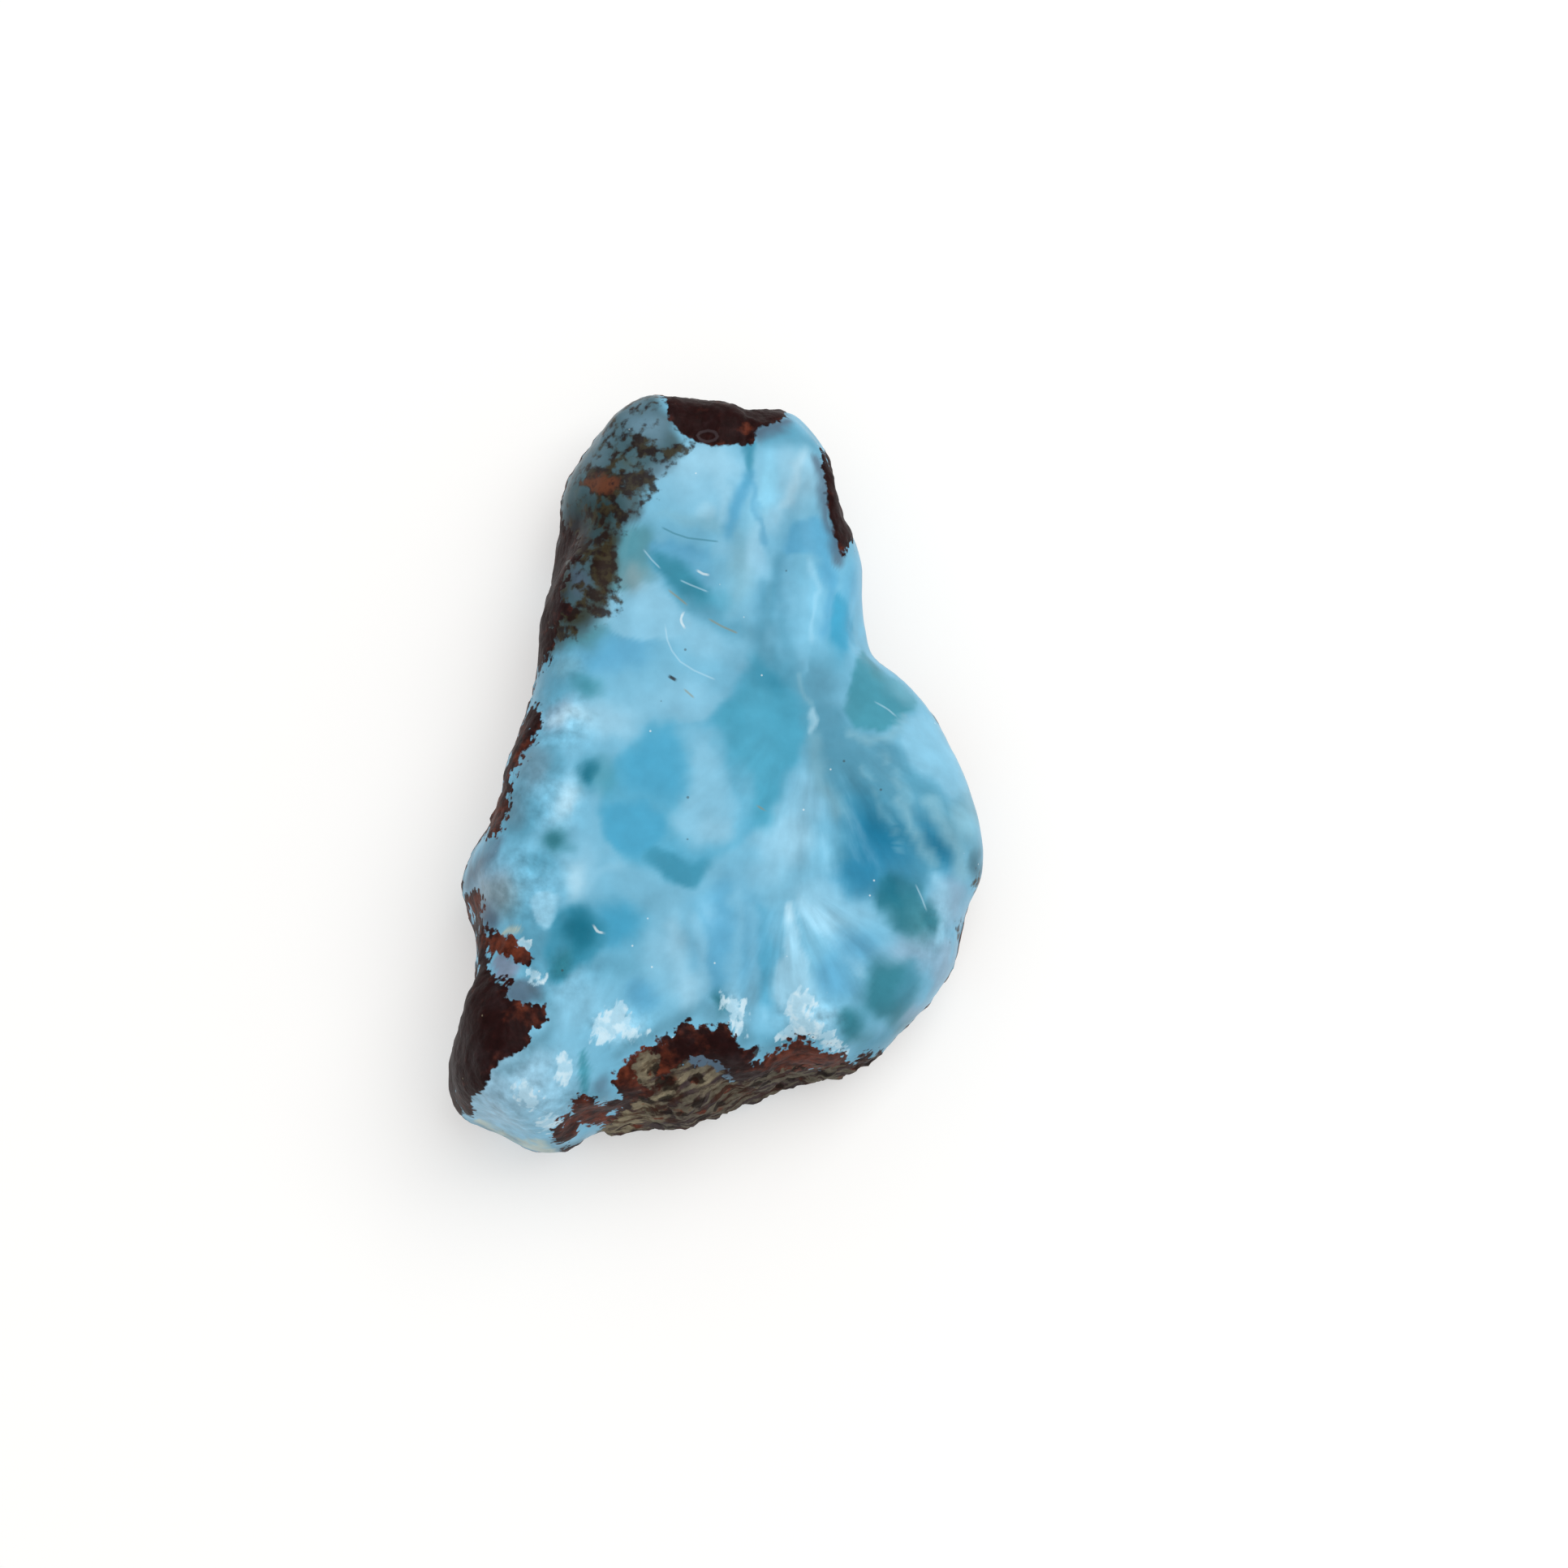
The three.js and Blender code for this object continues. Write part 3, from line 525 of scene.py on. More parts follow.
# Soft ovals of other properties: middle, reach each way, turn in degrees, strength
SUGAR = [
    ((690, 890), (45, 40), 0, 0.9),
    ((670, 980), (50, 50), 0, 0.8),
    ((640, 1090), (55, 60), 0, 0.9),
    ((690, 1210), (50, 40), 0, 0.5),
    ((650, 1345), (75, 60), 0, 1.0),
    ((765, 1265), (45, 28), 0, 1.0),
    ((905, 1243), (18, 24), -25, 1.0),
    ((1000, 1254), (45, 28), 5, 1.0),
    ((1150, 1150), (30, 60), 10, 0.5),
    ((700, 820), (30, 20), 0, 0.5),
]
RIND = [
    ((765, 555), (60, 50), 0, 1.0),
    ((735, 630), (40, 50), 0, 1.0),
    ((720, 710), (36, 60), 0, 1.0),
    ((690, 770), (36, 28), 0, 0.9),
    ((640, 1200), (26, 40), 0, 0.5),
]
PALE_ROCK = [
    ((785, 1364), (58, 9), -29, 1.0),
    ((775, 1384), (40, 8), -14, 1.0),
    ((832, 1334), (26, 8), -36, 0.9),
    ((868, 1330), (18, 13), 0, 0.8),
    ((800, 1318), (16, 18), 0, 0.8),
]
REDNESS = [
    ((790, 1315), (50, 34), 0, 0.8),
    ((870, 1275), (40, 20), 0, 0.2),
    ((990, 1305), (60, 25), 0, 0.8),
    ((630, 1165), (34, 18), 0, 1.0),
    ((650, 1250), (22, 16), 0, 0.6),
    ((720, 1378), (50, 30), 0, 0.6),
    ((745, 596), (36, 18), 0, 1.0),
    ((917, 528), (9, 9), 0, 1.0),
    ((640, 930), (20, 50), 0, 0.4),
    ((612, 1000), (14, 40), 0, 0.7),
    ((588, 1115), (14, 20), 0, 0.7),
]
EVEN_EDGE = [
    ((890, 525), (80, 44), 0, 1.0),
    ((1030, 620), (26, 84), 12, 1.0),
    ((600, 1310), (50, 60), 0, 0.7),
]

# Noise on the mesh: size of the lumps in millimetres, octaves, seed
SIDE_BROAD = (7, 3, 3)
SIDE_FINE = (3.5, 4, 5)
SIDE_CRUST = (6, 4, 11)
SIDE_ROCK = (6, 3, 13)
SIDE_FLECKS = (5, 3, 59)
SIDE_STAIN = (9, 3, 61)
STEEP_SHIFTS = [(3.0, 3, 73), (3.0, 3, 79)]
WANDERS = [(9, (3.0, 2, 41), (3.0, 2, 42)), (4, (1.1, 2, 47), (1.1, 2, 48))]  # reach in pixels, X, Y

# Flanks and underside, told by how far they face the camera: from 1 straight at it to -1 away from it
SIDE_FACING = (0.15, -0.08)
STEEP_FACING = (0.4, 0.1)
UNDER_FACING = (-0.5, -0.9)
NO_ROCK_FACING = (-0.5, -0.8)
FLANK_FACING = (-0.05, -0.35)
STEEP_WANDER = 24  # pixels

# Their colours: the plain one, and others over it with the noise that is bare and full at two values
SIDE_COLOUR = "slate"
SIDE_LAYERS = [
    ("mist", SIDE_BROAD, (-0.4, 0.5)),
    ("sage", SIDE_FINE, (0.15, 0.6)),
    ("cotton", SIDE_FINE, (-0.25, -0.7)),
]

# Their crust, rock, flecks and stain: levels and gains in pixels of depth, as inside an outline
SIDE_ACROSS_MM = (-8, 10)
SIDE_CRUST_LEVEL = {"left": 10, "right": -10, "under": -4}
SIDE_CRUST_GAIN = 34
SIDE_ROCK_GAIN = 10
SIDE_FLECK_LEVEL = -6
SIDE_FLECK_GAIN = 26
SIDE_STAINED = (-0.2, 0.4)
SIDE_RED = 0.45

# Fine relief: its noise, and its height in millimetres
RELIEF = {
    "crust": ((1.2, 3, 17), 0.14),
    "rock": ((1.7, 4, 19), 0.45),
    "sugar": ((0.8, 3, 23), 0.10),
    "rind": ((1.0, 3, 29), 0.12),
    "face": ((3.0, 2, 31), 0.06),
    "flank": ((5.0, 3, 67), 0.7),
}
CREASE = (2.2, 3, 71)
CREASE_MM = 0.3
CREASE_EDGE = (0.3, 0)
CRUST_RISE_MM = 0.14
CRUST_RISE_EDGE = (-4, 6)
ROCK_RISE_EDGE = (-8, 8)

# Noise in the material: size of the lumps in millimetres, detail
NOISE = {
    "fibres": (1, 5),
    "mottle": (2.0, 5),
    "crystals": (0.9, 7),
    "needles": (0.5, 6),
    "stain": (1.4, 5),
    "fine flecks": (0.7, 6),
    "broad flecks": (2.1, 4),
    "fleck kinds": (0.9, 4),
    "rust": (0.7, 4),
    "crust red": (1.0, 6),
    "crust sheen": (2.5, 5),
    "crust bumps": (1.0, 4),
    "layers": (0.7, 5),
    "rock patches": (2.2, 5),
    "rock rust": (1.5, 5),
    "pits": (0.8, 4),
    "grit": (0.5, 7),
    "grain": (0.4, 5),
    "edge lumps": (1.1, 4),
    "edge spikes": (0.45, 4),
}

# Colours laid over others as a value changes: colour, value where it is bare, where it is full, strength
LAYERS = {
    "strands": ("snow", 0.05, 0.35, 0.4),
    "glints": ("white", -0.05, 0.1, 0.45),
    "stain": ("stain", -0.05, 0.2, 0.7),
    "fleck": ("fleck", -0.12, 0.05, 1),
    "rust": ("rust", 0.6, 1.0, 1),
    "fleck core": ("crust", 10, 22, 1),
    "crust red": ("crust red", 0.1, 1.2, 1),
    "crust sheen": ("crust sheen", 0.02, 0.25, 0.25),
    "rock brown": ("rock brown", -0.1, 0.1, 1),
    "rock green": ("rock green", -0.06, 0.08, 0.9),
    "rock cream": ("rock cream", -0.16, 0.02, 0.8),
    "rock rust": ("crust red", 0.08, 0.2, 1),
    # painted shade in the gaps between the rock's layers and in its pits
    "rock gap shade": ("rock dark", 0.04, 0.0, 0.4),
    "rock pit shade": ("rock dark", 0.42, 0.26, 0.85),
}

# Small round specks: colour, spacing and radius in millimetres, chance, strength
SPECKS = {
    "dark": ("olive", 2.4, 0.11, 0.35, 0.55),
    # bright: white specks that are painted glints
    "bright": ("white", 1.7, 0.08, 0.35, 0.6),
    "crust": ("rock cream", 1.6, 0.09, 0.25, 0.6),
}
SPECK_EDGE = (1.3, 0.7)  # from bare to full colour, in radii

# Fibres in degrees and pixels, directions of grain, and tones as shares of brightness
FIBRE_DEGREES = 12
FIBRE_LENGTH = 120
FAN_SHIFT = 7
FIBRE_TONE = 1.4
MOTTLE_TONE = 0.42
SUGAR_TONE = 1.5
GRIT_TONE = 1.6
NEEDLE_TURN = math.radians(65)
NEEDLE_STRETCH = 2.5
STRATA_TURN = math.radians(29)
STRATA_STRETCH = 4.0

# Ragged borders: reach of their noise, and depths where a colour is bare and full, in pixels
CREST_RAGGED = 44
CREST_EDGE = (-3, 3)
FLECK_RAGGED = 46
FLECK_BROAD = 23
FLECK_EDGE = (-4, 6)
EDGE_RAGGED = 20.0
EDGE_BEADS = 8.0
EDGE_SPIKES = 18.0
EDGE_EVENED = 0.8  # the share of this reach that an even edge loses
CRUST_EDGE = (-1.5, 1.5)
ROCK_EDGE = (-2.0, 2.0)
CRUST_RIM = (12, 0)

# Strengths of single marks, and the rock's gaps and pits of painted shade and the crust's beads
CREST_STRENGTH = 0.6
FLECK_STRENGTH = 0.92
CRUST_RED_GAIN = 1.8
CRUST_RIM_RED = 0.2
GAP_SHIFT = 0.03
PIT_SPACING_MM = 1.8
PIT_UNEVEN = 0.8
BEAD_MM = 0.6
BEAD_RADIUS = 0.5

# Gloss and bump
ROUGHNESS = {"blue": 0.32, "crust": 0.5, "rock": 0.75}
SPECULAR = 0.07
BUMP_STRENGTH = 0.7
BUMP_MM = 0.2
BUMPS = {"face": 0.06, "sugar": 0.5, "beads": 0.3, "rock": 1.5}

# The mesh: joining distance, rounds of subdivision, and how the listed outlines and ovals are softened
WELD_MM = 0.001
SUBDIVISIONS = 2
OUTLINE_ROUNDS = 2
CORNER_CUT = 0.25
OVAL_POWER = 1.5

# Numbers of the mix node's colour inputs and result, and the middle of the noise node's values
MIX_COLOURS = (6, 7)
MIX_RESULT = 2
NOISE_MIDDLE = 0.5


def srgb_to_linear(colour):
    """The linear value of sRGB values from 0 to 255."""
    share = np.asarray(colour, dtype=float) / 255
    return np.where(share <= 0.04045, share / 12.92, ((share + 0.055) / 1.055) ** 2.4)


def albedo(colour, haze):
    """The surface colour that looks like an sRGB colour once light and a haze of gloss are added."""
    return np.maximum(srgb_to_linear(colour) - haze, DARKEST) / LIGHT_GAIN


def blend(first, second, share):
    """A value or colour part of the way from one to another."""
    return first + share * (second - first)


def smoothstep(value, low, high):
    """0 at low and 1 at high, with a smooth climb between them."""
    share = np.clip((value - low) / (high - low), 0, 1)
    return share * share * (3 - 2 * share)


def photo_pixels(points_mm):
    """Where points of the stone lie in the photograph."""
    offset = points_mm - CAMERA_MM
    depth = -offset @ BACK
    x = PHOTO_SIZE / 2 + FOCAL_PIXELS * offset[:, 0] / depth
    y = PHOTO_SIZE / 2 - FOCAL_PIXELS * (offset @ UP) / depth
    return np.stack((x, y), axis=1)


def oval(pixels, middle, reach, turn):
    """A soft oval's strength: 1 at its middle and about a third at its reach."""
    angle = math.radians(turn)
    offset = pixels - np.array(middle)
    along = (offset[:, 0] * math.cos(angle) + offset[:, 1] * math.sin(angle)) / reach[0]
    across = (offset[:, 1] * math.cos(angle) - offset[:, 0] * math.sin(angle)) / reach[1]
    return np.exp(-(along**2 + across**2) ** OVAL_POWER)


def ovals(pixels, rows):
    """The strongest of several soft ovals at each pixel."""
    strengths = [strength * oval(pixels, middle, reach, turn) for middle, reach, turn, strength in rows]
    return np.max(strengths, axis=0)


def rounded(outline):
    """A closed outline with its corners cut, a few times over."""
    points = np.array(outline, dtype=float)
    for _ in range(OUTLINE_ROUNDS):
        following = np.roll(points, -1, axis=0)
        cuts = blend(points, following, CORNER_CUT), blend(following, points, CORNER_CUT)
        points = np.stack(cuts, axis=1).reshape(-1, 2)
    return points


def line_distance(pixels, starts, ends):
    """The distance from each pixel to the nearest of several segments, and its offset beside that one."""
    nearest = np.full(len(pixels), np.inf)
    beside = np.zeros(len(pixels))
    for start, end in zip(starts, ends):
        run = end - start
        from_start = pixels - start
        share = np.clip(from_start @ run / (run @ run), 0, 1)
        gap = from_start - share[:, None] * run
        distance = np.hypot(gap[:, 0], gap[:, 1])
        offset = (run[0] * from_start[:, 1] - run[1] * from_start[:, 0]) / math.hypot(*run)
        beside = np.where(distance < nearest, offset, beside)
        nearest = np.minimum(nearest, distance)
    return nearest, beside


def inside(pixels, points):
    """Which pixels lie inside a closed line."""
    x, y = pixels.T
    odd = np.zeros(len(pixels), dtype=bool)
    for (x0, y0), (x1, y1) in zip(points, np.roll(points, -1, axis=0)):
        if y0 != y1:
            odd ^= ((y0 > y) != (y1 > y)) & (x < x0 + (y - y0) * (x1 - x0) / (y1 - y0))
    return odd


def depth_inside(pixels, outline):
    """How deep each pixel lies inside a rounded outline: negative outside."""
    points = rounded(outline)
    distance, _ = line_distance(pixels, points, np.roll(points, -1, axis=0))
    return np.where(inside(pixels, points), distance, -distance)


def deepest(pixels, outlines):
    """How deep each pixel lies inside any of several outlines: negative outside them."""
    return np.max([depth_inside(pixels, outline) for outline in outlines], axis=0)


def cloud(points_mm, size, octaves, seed):
    """Cloudy noise at points, from about -1 to 1, with lumps of a size."""
    shift = Vector((seed, 2 * seed, 3 * seed))
    values = [noise.fractal(Vector(point) / size + shift, 1.0, 2.0, octaves) for point in points_mm]
    return np.array(values)


def refined_copy(node, name):
    """A dense smooth copy of a CAD node's mesh, in place."""
    mesh = bpy.data.meshes.new(name)
    work = bmesh.new()
    work.from_mesh(node.data)
    bmesh.ops.remove_doubles(work, verts=work.verts, dist=WELD_MM * MM)
    bmesh.ops.join_triangles(
        work, faces=work.faces, angle_face_threshold=math.pi, angle_shape_threshold=math.pi
    )
    work.to_mesh(mesh)
    work.free()
    piece = bpy.data.objects.new(name, mesh)
    bpy.context.collection.objects.link(piece)
    modifier = piece.modifiers.new("refine", "SUBSURF")
    modifier.levels = SUBDIVISIONS
    modifier.render_levels = SUBDIVISIONS
    bpy.context.view_layer.objects.active = piece
    bpy.ops.object.modifier_apply(modifier=modifier.name)
    piece.data.shade_smooth()
    return piece


def mesh_rows(collection, name):
    """Positions or normals of a mesh, as rows of three numbers."""
    values = np.empty(len(collection) * 3)
    collection.foreach_get(name, values)
    return values.reshape(-1, 3)


def wandering(pixels, points_mm):
    """The pixels moved about by noise, so that painted marks get uneven borders."""
    moved = pixels.copy()
    for reach, *shifts in WANDERS:
        for axis, shift in enumerate(shifts):
            moved[:, axis] += reach * cloud(points_mm, *shift)
    return moved


def wandering_where(steep, pixels, points_mm):
    """The pixels moved about on steep faces only, so that crust doesn't run straight down them."""
    shifts = [cloud(points_mm, *shift) for shift in STEEP_SHIFTS]
    return pixels + STEEP_WANDER * steep[:, None] * np.column_stack(shifts)


def paint_tint(pixels):
    """The blue stone's colour where the photograph shows it, in sRGB from 0 to 255."""
    tint = np.tile(np.array(PALETTE["sky"], dtype=float), (len(pixels), 1))

    def lay(colour, strength):
        tint[:] += strength[:, None] * (np.array(PALETTE[colour]) - tint)

    def lay_washes(washes):
        for colour, middle, reach, turn, strength in washes:
            lay(colour, strength * oval(pixels, middle, reach, turn))

    lay_washes(WASHES)
    for colour, strength, softness, outline in POOLS:
        lay(colour, strength * smoothstep(depth_inside(pixels, outline), -softness, softness))
    lay_washes(OVERWASHES)
    for colour, half_width, strength, points in STREAKS:
        line = np.array(points, dtype=float)
        distance, _ = line_distance(pixels, line[:-1], line[1:])
        lay(colour, strength * smoothstep(distance, 2 * half_width, 0))
    return tint


def paint_sides(points_mm):
    """The blue stone's colour on flanks and underside: clouds of a few colours."""
    tint = np.array(PALETTE[SIDE_COLOUR], dtype=float)
    for colour, lumps, climb in SIDE_LAYERS:
        share = smoothstep(cloud(points_mm, *lumps), *climb)[:, None]
        tint = blend(tint, np.array(PALETTE[colour]), share)
    return tint


def speckle_field(pixels):
    """How densely flecks of crust are sprinkled at each vertex."""
    levels = [np.minimum(depth_inside(pixels, outline), level) for level, outline in SPECKLES]
    return np.maximum(np.max(levels, axis=0), NO_CRUST)


def side_crust_field(points_mm, facing):
    """The crust on flanks and underside, from noise: most on the left, least on the right."""
    across = smoothstep(points_mm[:, 0], *SIDE_ACROSS_MM)
    level = blend(SIDE_CRUST_LEVEL["left"], SIDE_CRUST_LEVEL["right"], across)
    level = blend(level, SIDE_CRUST_LEVEL["under"], smoothstep(facing, *UNDER_FACING))
    return level + SIDE_CRUST_GAIN * cloud(points_mm, *SIDE_CRUST)


def thin_lines(pixels, lines):
    """For lines of one colour: each vertex's offset beside the nearest line, and that line's strength."""
    points = [np.array(line, dtype=float) for line in lines]
    starts = np.concatenate([line[:-1] for line in points])
    ends = np.concatenate([line[1:] for line in points])
    distance, beside = line_distance(pixels, starts, ends)
    beyond = np.sqrt(np.maximum(distance**2 - beside**2, 0))
    strength = smoothstep(beyond, LINE_END, 0)
    strength *= smoothstep(np.abs(beside), LINE_REACH, LINE_REACH - LINE_FADE)
    return np.stack((beside, strength, np.zeros(len(pixels))), axis=1)


def fan(pixels, apex, direction, half_spread, near, far, strength):
    """A fan's fibre coordinates: angle in degrees, radius, and the fan's strength."""
    offset = pixels - np.array(apex)
    radius = np.hypot(offset[:, 0], offset[:, 1])
    angle = np.degrees(np.arctan2(offset[:, 1], offset[:, 0])) - direction
    angle = (angle + 180) % 360 - 180
    weight = smoothstep(np.abs(angle), half_spread + FAN_EDGE, half_spread - FAN_EDGE)
    weight *= smoothstep(radius, near, near + FAN_RADIUS_FADE)
    weight *= smoothstep(radius, far + FAN_RADIUS_FADE, far - FAN_RADIUS_FADE)
    return np.stack((angle, radius, strength * weight), axis=1)


def store(mesh, name, values):
    """Keeps values as a vertex attribute: single numbers, vectors, or colours."""
    kinds = {1: ("FLOAT", "value"), 3: ("FLOAT_VECTOR", "vector"), 4: ("FLOAT_COLOR", "color")}
    kind, field = kinds[1 if values.ndim == 1 else values.shape[1]]
    attribute = mesh.attributes.new(name, kind, "POINT")
    attribute.data.foreach_set(field, np.ascontiguousarray(values, dtype=np.float32).ravel())


def stone_fields(points_mm, pixels, facing, side):
    """The stone's crust, rock and other properties at each vertex, by name."""
    steep = smoothstep(facing, *STEEP_FACING)
    crust = np.maximum(deepest(wandering_where(steep, pixels, points_mm), CRUSTS), NO_CRUST)
    rock = deepest(pixels, ROCKS) + side * SIDE_ROCK_GAIN * cloud(points_mm, *SIDE_ROCK)
    side_flecks = SIDE_FLECK_LEVEL + SIDE_FLECK_GAIN * cloud(points_mm, *SIDE_FLECKS)
    side_stain = smoothstep(cloud(points_mm, *SIDE_STAIN), *SIDE_STAINED)
    return {
        "crust": blend(crust, side_crust_field(points_mm, facing), side),
        "rock": rock + smoothstep(facing, *NO_ROCK_FACING) * NO_CRUST,
        "crest": np.maximum(deepest(pixels, CRESTS), NO_CRUST) + side * NO_CRUST,
        "speckle": blend(speckle_field(pixels), side_flecks, side),
        "sugar": ovals(pixels, SUGAR) * (1 - side),
        "rind": blend(ovals(pixels, RIND), side_stain, side),
        "red": blend(ovals(pixels, REDNESS), SIDE_RED, side),
        "pale rock": ovals(pixels, PALE_ROCK),
        "even edge": ovals(pixels, EVEN_EDGE) * (1 - side),
    }


def store_marks(mesh, points_mm, facing):
    """Keeps every painted mark as a vertex attribute. Gives back the fields that relief needs."""
    pixels = photo_pixels(points_mm)
    side = smoothstep(facing, *SIDE_FACING)
    tint = blend(paint_tint(wandering(pixels, points_mm)), paint_sides(points_mm), side[:, None])
    store(mesh, "tint", np.column_stack((albedo(tint, BLUE_HAZE), np.ones(len(tint)))))
    fields = stone_fields(points_mm, pixels, facing, side)
    for name, values in fields.items():
        store(mesh, name, values)
    for colour, (_, _, lines) in LINES.items():
        offsets = thin_lines(pixels, lines)
        offsets[:, 1] *= 1 - side
        store(mesh, f"line {colour}", offsets)
    for number, row in enumerate(FANS):
        strands = fan(pixels, *row)
        strands[:, 2] *= 1 - side
        store(mesh, f"fan {number}", strands)
    return fields


def relief_mm(points_mm, facing, fields):
    """How far fine relief lifts each vertex."""
    lumps = {name: height * cloud(points_mm, *row) for name, (row, height) in RELIEF.items()}
    in_crust = smoothstep(fields["crust"], *CRUST_RISE_EDGE)
    in_rock = smoothstep(fields["rock"], *ROCK_RISE_EDGE)
    flank = smoothstep(facing, *FLANK_FACING)
    creases = smoothstep(np.abs(cloud(points_mm, *CREASE)), *CREASE_EDGE)

    lift = fields["sugar"] * lumps["sugar"] + fields["rind"] * lumps["rind"] + lumps["face"]
    lift *= (1 - in_crust) * (1 - in_rock)
    lift += in_crust * (CRUST_RISE_MM + lumps["crust"])
    lift += in_rock * lumps["rock"]
    lift += flank * (lumps["flank"] - CREASE_MM * creases)
    return lift


def build_stone(node):
    """The stone with its marks and fine relief."""
    piece = refined_copy(node, "larimar_stone")
    mesh = piece.data
    points_mm = mesh_rows(mesh.vertices, "co") / MM
    normals = mesh_rows(mesh.vertex_normals, "vector")
    facing = normals @ BACK
    fields = store_marks(mesh, points_mm, facing)
    lifted = points_mm + normals * relief_mm(points_mm, facing, fields)[:, None]
    lifted[:, 2] = np.maximum(lifted[:, 2], 0)
    mesh.vertices.foreach_set("co", (lifted * MM).ravel())
    mesh.update()
    mesh.materials.clear()
    mesh.materials.append(stone_material())
    return piece


def colour_of(name):
    """A palette colour as a linear colour with full opacity."""
    return (*albedo(PALETTE[name], DULL_HAZE), 1.0)


class Value:
    """A node's output that plain arithmetic works on, by adding nodes."""

    def __init__(self, shading, socket):
        self.shading = shading
        self.socket = socket

    def __add__(self, other):
        return self.shading.math("ADD", self, other)

    def __sub__(self, other):
        return self.shading.math("SUBTRACT", self, other)

    def __rsub__(self, other):
        return self.shading.math("SUBTRACT", other, self)

    def __mul__(self, other):
        return self.shading.math("MULTIPLY", self, other)

    def __abs__(self):
        return self.shading.math("ABSOLUTE", self)

    __radd__ = __add__
    __rmul__ = __mul__


class Shading:
    """Adds nodes to one material, with plain calls for the few kinds it uses."""

    def __init__(self, material):
        material.use_nodes = True
        self.tree = material.node_tree
        self.shader = self.tree.nodes["Principled BSDF"]
        self.place = self.output(self.node("TexCoord"), "Object")

    def node(self, kind, **settings):
        """A new node of a kind, with its settings."""
        node = self.tree.nodes.new(f"ShaderNode{kind}")
        for name, value in settings.items():
            setattr(node, name, value)
        return node

    def output(self, node, key=0):
        """An output of a node, by name or number."""
        return Value(self, node.outputs[key])

    def feed(self, node, key, value):
        """Links an output to a node's input, or sets that input's own value."""
        if isinstance(value, Value):
            self.tree.links.new(value.socket, node.inputs[key])
        else:
            node.inputs[key].default_value = value

    def attribute(self, name, output="Fac"):
        """A vertex attribute of the mesh."""
        return self.output(self.node("Attribute", attribute_name=name), output)

    def math(self, operation, first, second=0.0):
        """Arithmetic on two values."""
        node = self.node("Math", operation=operation)
        self.feed(node, 0, first)
        self.feed(node, 1, second)
        return self.output(node)

    def step(self, value, low, high):
        """0 at low and 1 at high, with a smooth climb between them, also where high is the lower number."""
        node = self.node("MapRange", interpolation_type="SMOOTHSTEP")
        self.feed(node, "Value", value)
        self.feed(node, "From Min", min(low, high))
        self.feed(node, "From Max", max(low, high))
        self.feed(node, "To Min", 0 if low < high else 1)
        self.feed(node, "To Max", 1 if low < high else 0)
        return self.output(node, "Result")

    def cloud(self, name, vector=None):
        """Noise about 0, from about -0.4 to 0.4, by a row of NOISE."""
        size_mm, detail = NOISE[name]
        node = self.node("TexNoise")
        self.feed(node, "Vector", vector or self.place)
        self.feed(node, "Scale", 1 / (size_mm * MM))
        self.feed(node, "Detail", detail)
        return self.output(node, "Fac") - NOISE_MIDDLE

    def cells(self, size_mm):
        """Random cells: the distance from the nearest middle, and a random colour for each."""
        node = self.node("TexVoronoi")
        self.feed(node, "Vector", self.place)
        self.feed(node, "Scale", 1 / (size_mm * MM))
        return self.output(node, "Distance"), self.output(node, "Color")

    def mix(self, share, first, second):
        """A colour between two others; names are palette colours."""
        node = self.node("Mix", data_type="RGBA")
        self.feed(node, "Factor", share)
        for key, colour in zip(MIX_COLOURS, (first, second)):
            self.feed(node, key, colour_of(colour) if isinstance(colour, str) else colour)
        return self.output(node, MIX_RESULT)

    def laid(self, name, value, under, where=None):
        """A colour with another laid over it where a value climbs, by a row of LAYERS."""
        colour, low, high, strength = LAYERS[name]
        share = strength * self.step(value, low, high)
        return self.mix(share if where is None else share * where, under, colour)

    def specked(self, name, under):
        """A colour with small round specks in some of the cells of a random grid, by a row of SPECKS."""
        colour, spacing_mm, radius_mm, chance, strength = SPECKS[name]
        distance, random_colour = self.cells(spacing_mm)
        bare, full = (share * radius_mm / spacing_mm for share in SPECK_EDGE)
        chosen = self.math("LESS_THAN", self.split(random_colour)[0], chance)
        return self.mix(strength * chosen * self.step(distance, bare, full), under, colour)

    def scaled(self, colour, factor):
        """A colour made brighter or darker by a factor."""
        node = self.node("VectorMath", operation="SCALE")
        self.feed(node, 0, colour)
        self.feed(node, "Scale", factor)
        return self.output(node)

    def vector(self, *parts):
        """A vector of three values."""
        node = self.node("CombineXYZ")
        for key, value in enumerate(parts):
            self.feed(node, key, value)
        return self.output(node)

    def split(self, vector):
        """The three values of a vector."""
        node = self.node("SeparateXYZ")
        self.feed(node, 0, vector)
        return [self.output(node, key) for key in "XYZ"]

    def stretched(self, turn, stretch):
        """Places turned about the vertical and drawn out along the turned X axis."""
        node = self.node("Mapping", vector_type="TEXTURE")
        self.feed(node, "Vector", self.place)
        self.feed(node, "Rotation", (0, 0, turn))
        self.feed(node, "Scale", (stretch, 1, 1))
        return self.output(node)


def strand_value(shading):
    """How pale or deep the fibres are at a point, about 0."""
    total = 0.0
    for number, _ in enumerate(FANS):
        angle, radius, strength = shading.split(shading.attribute(f"fan {number}", "Vector"))
        across = angle * (MM / FIBRE_DEGREES)
        along = radius * (MM / FIBRE_LENGTH)
        fibres = shading.cloud("fibres", shading.vector(across, along, MM * FAN_SHIFT * number))
        total = total + fibres * strength
    return total


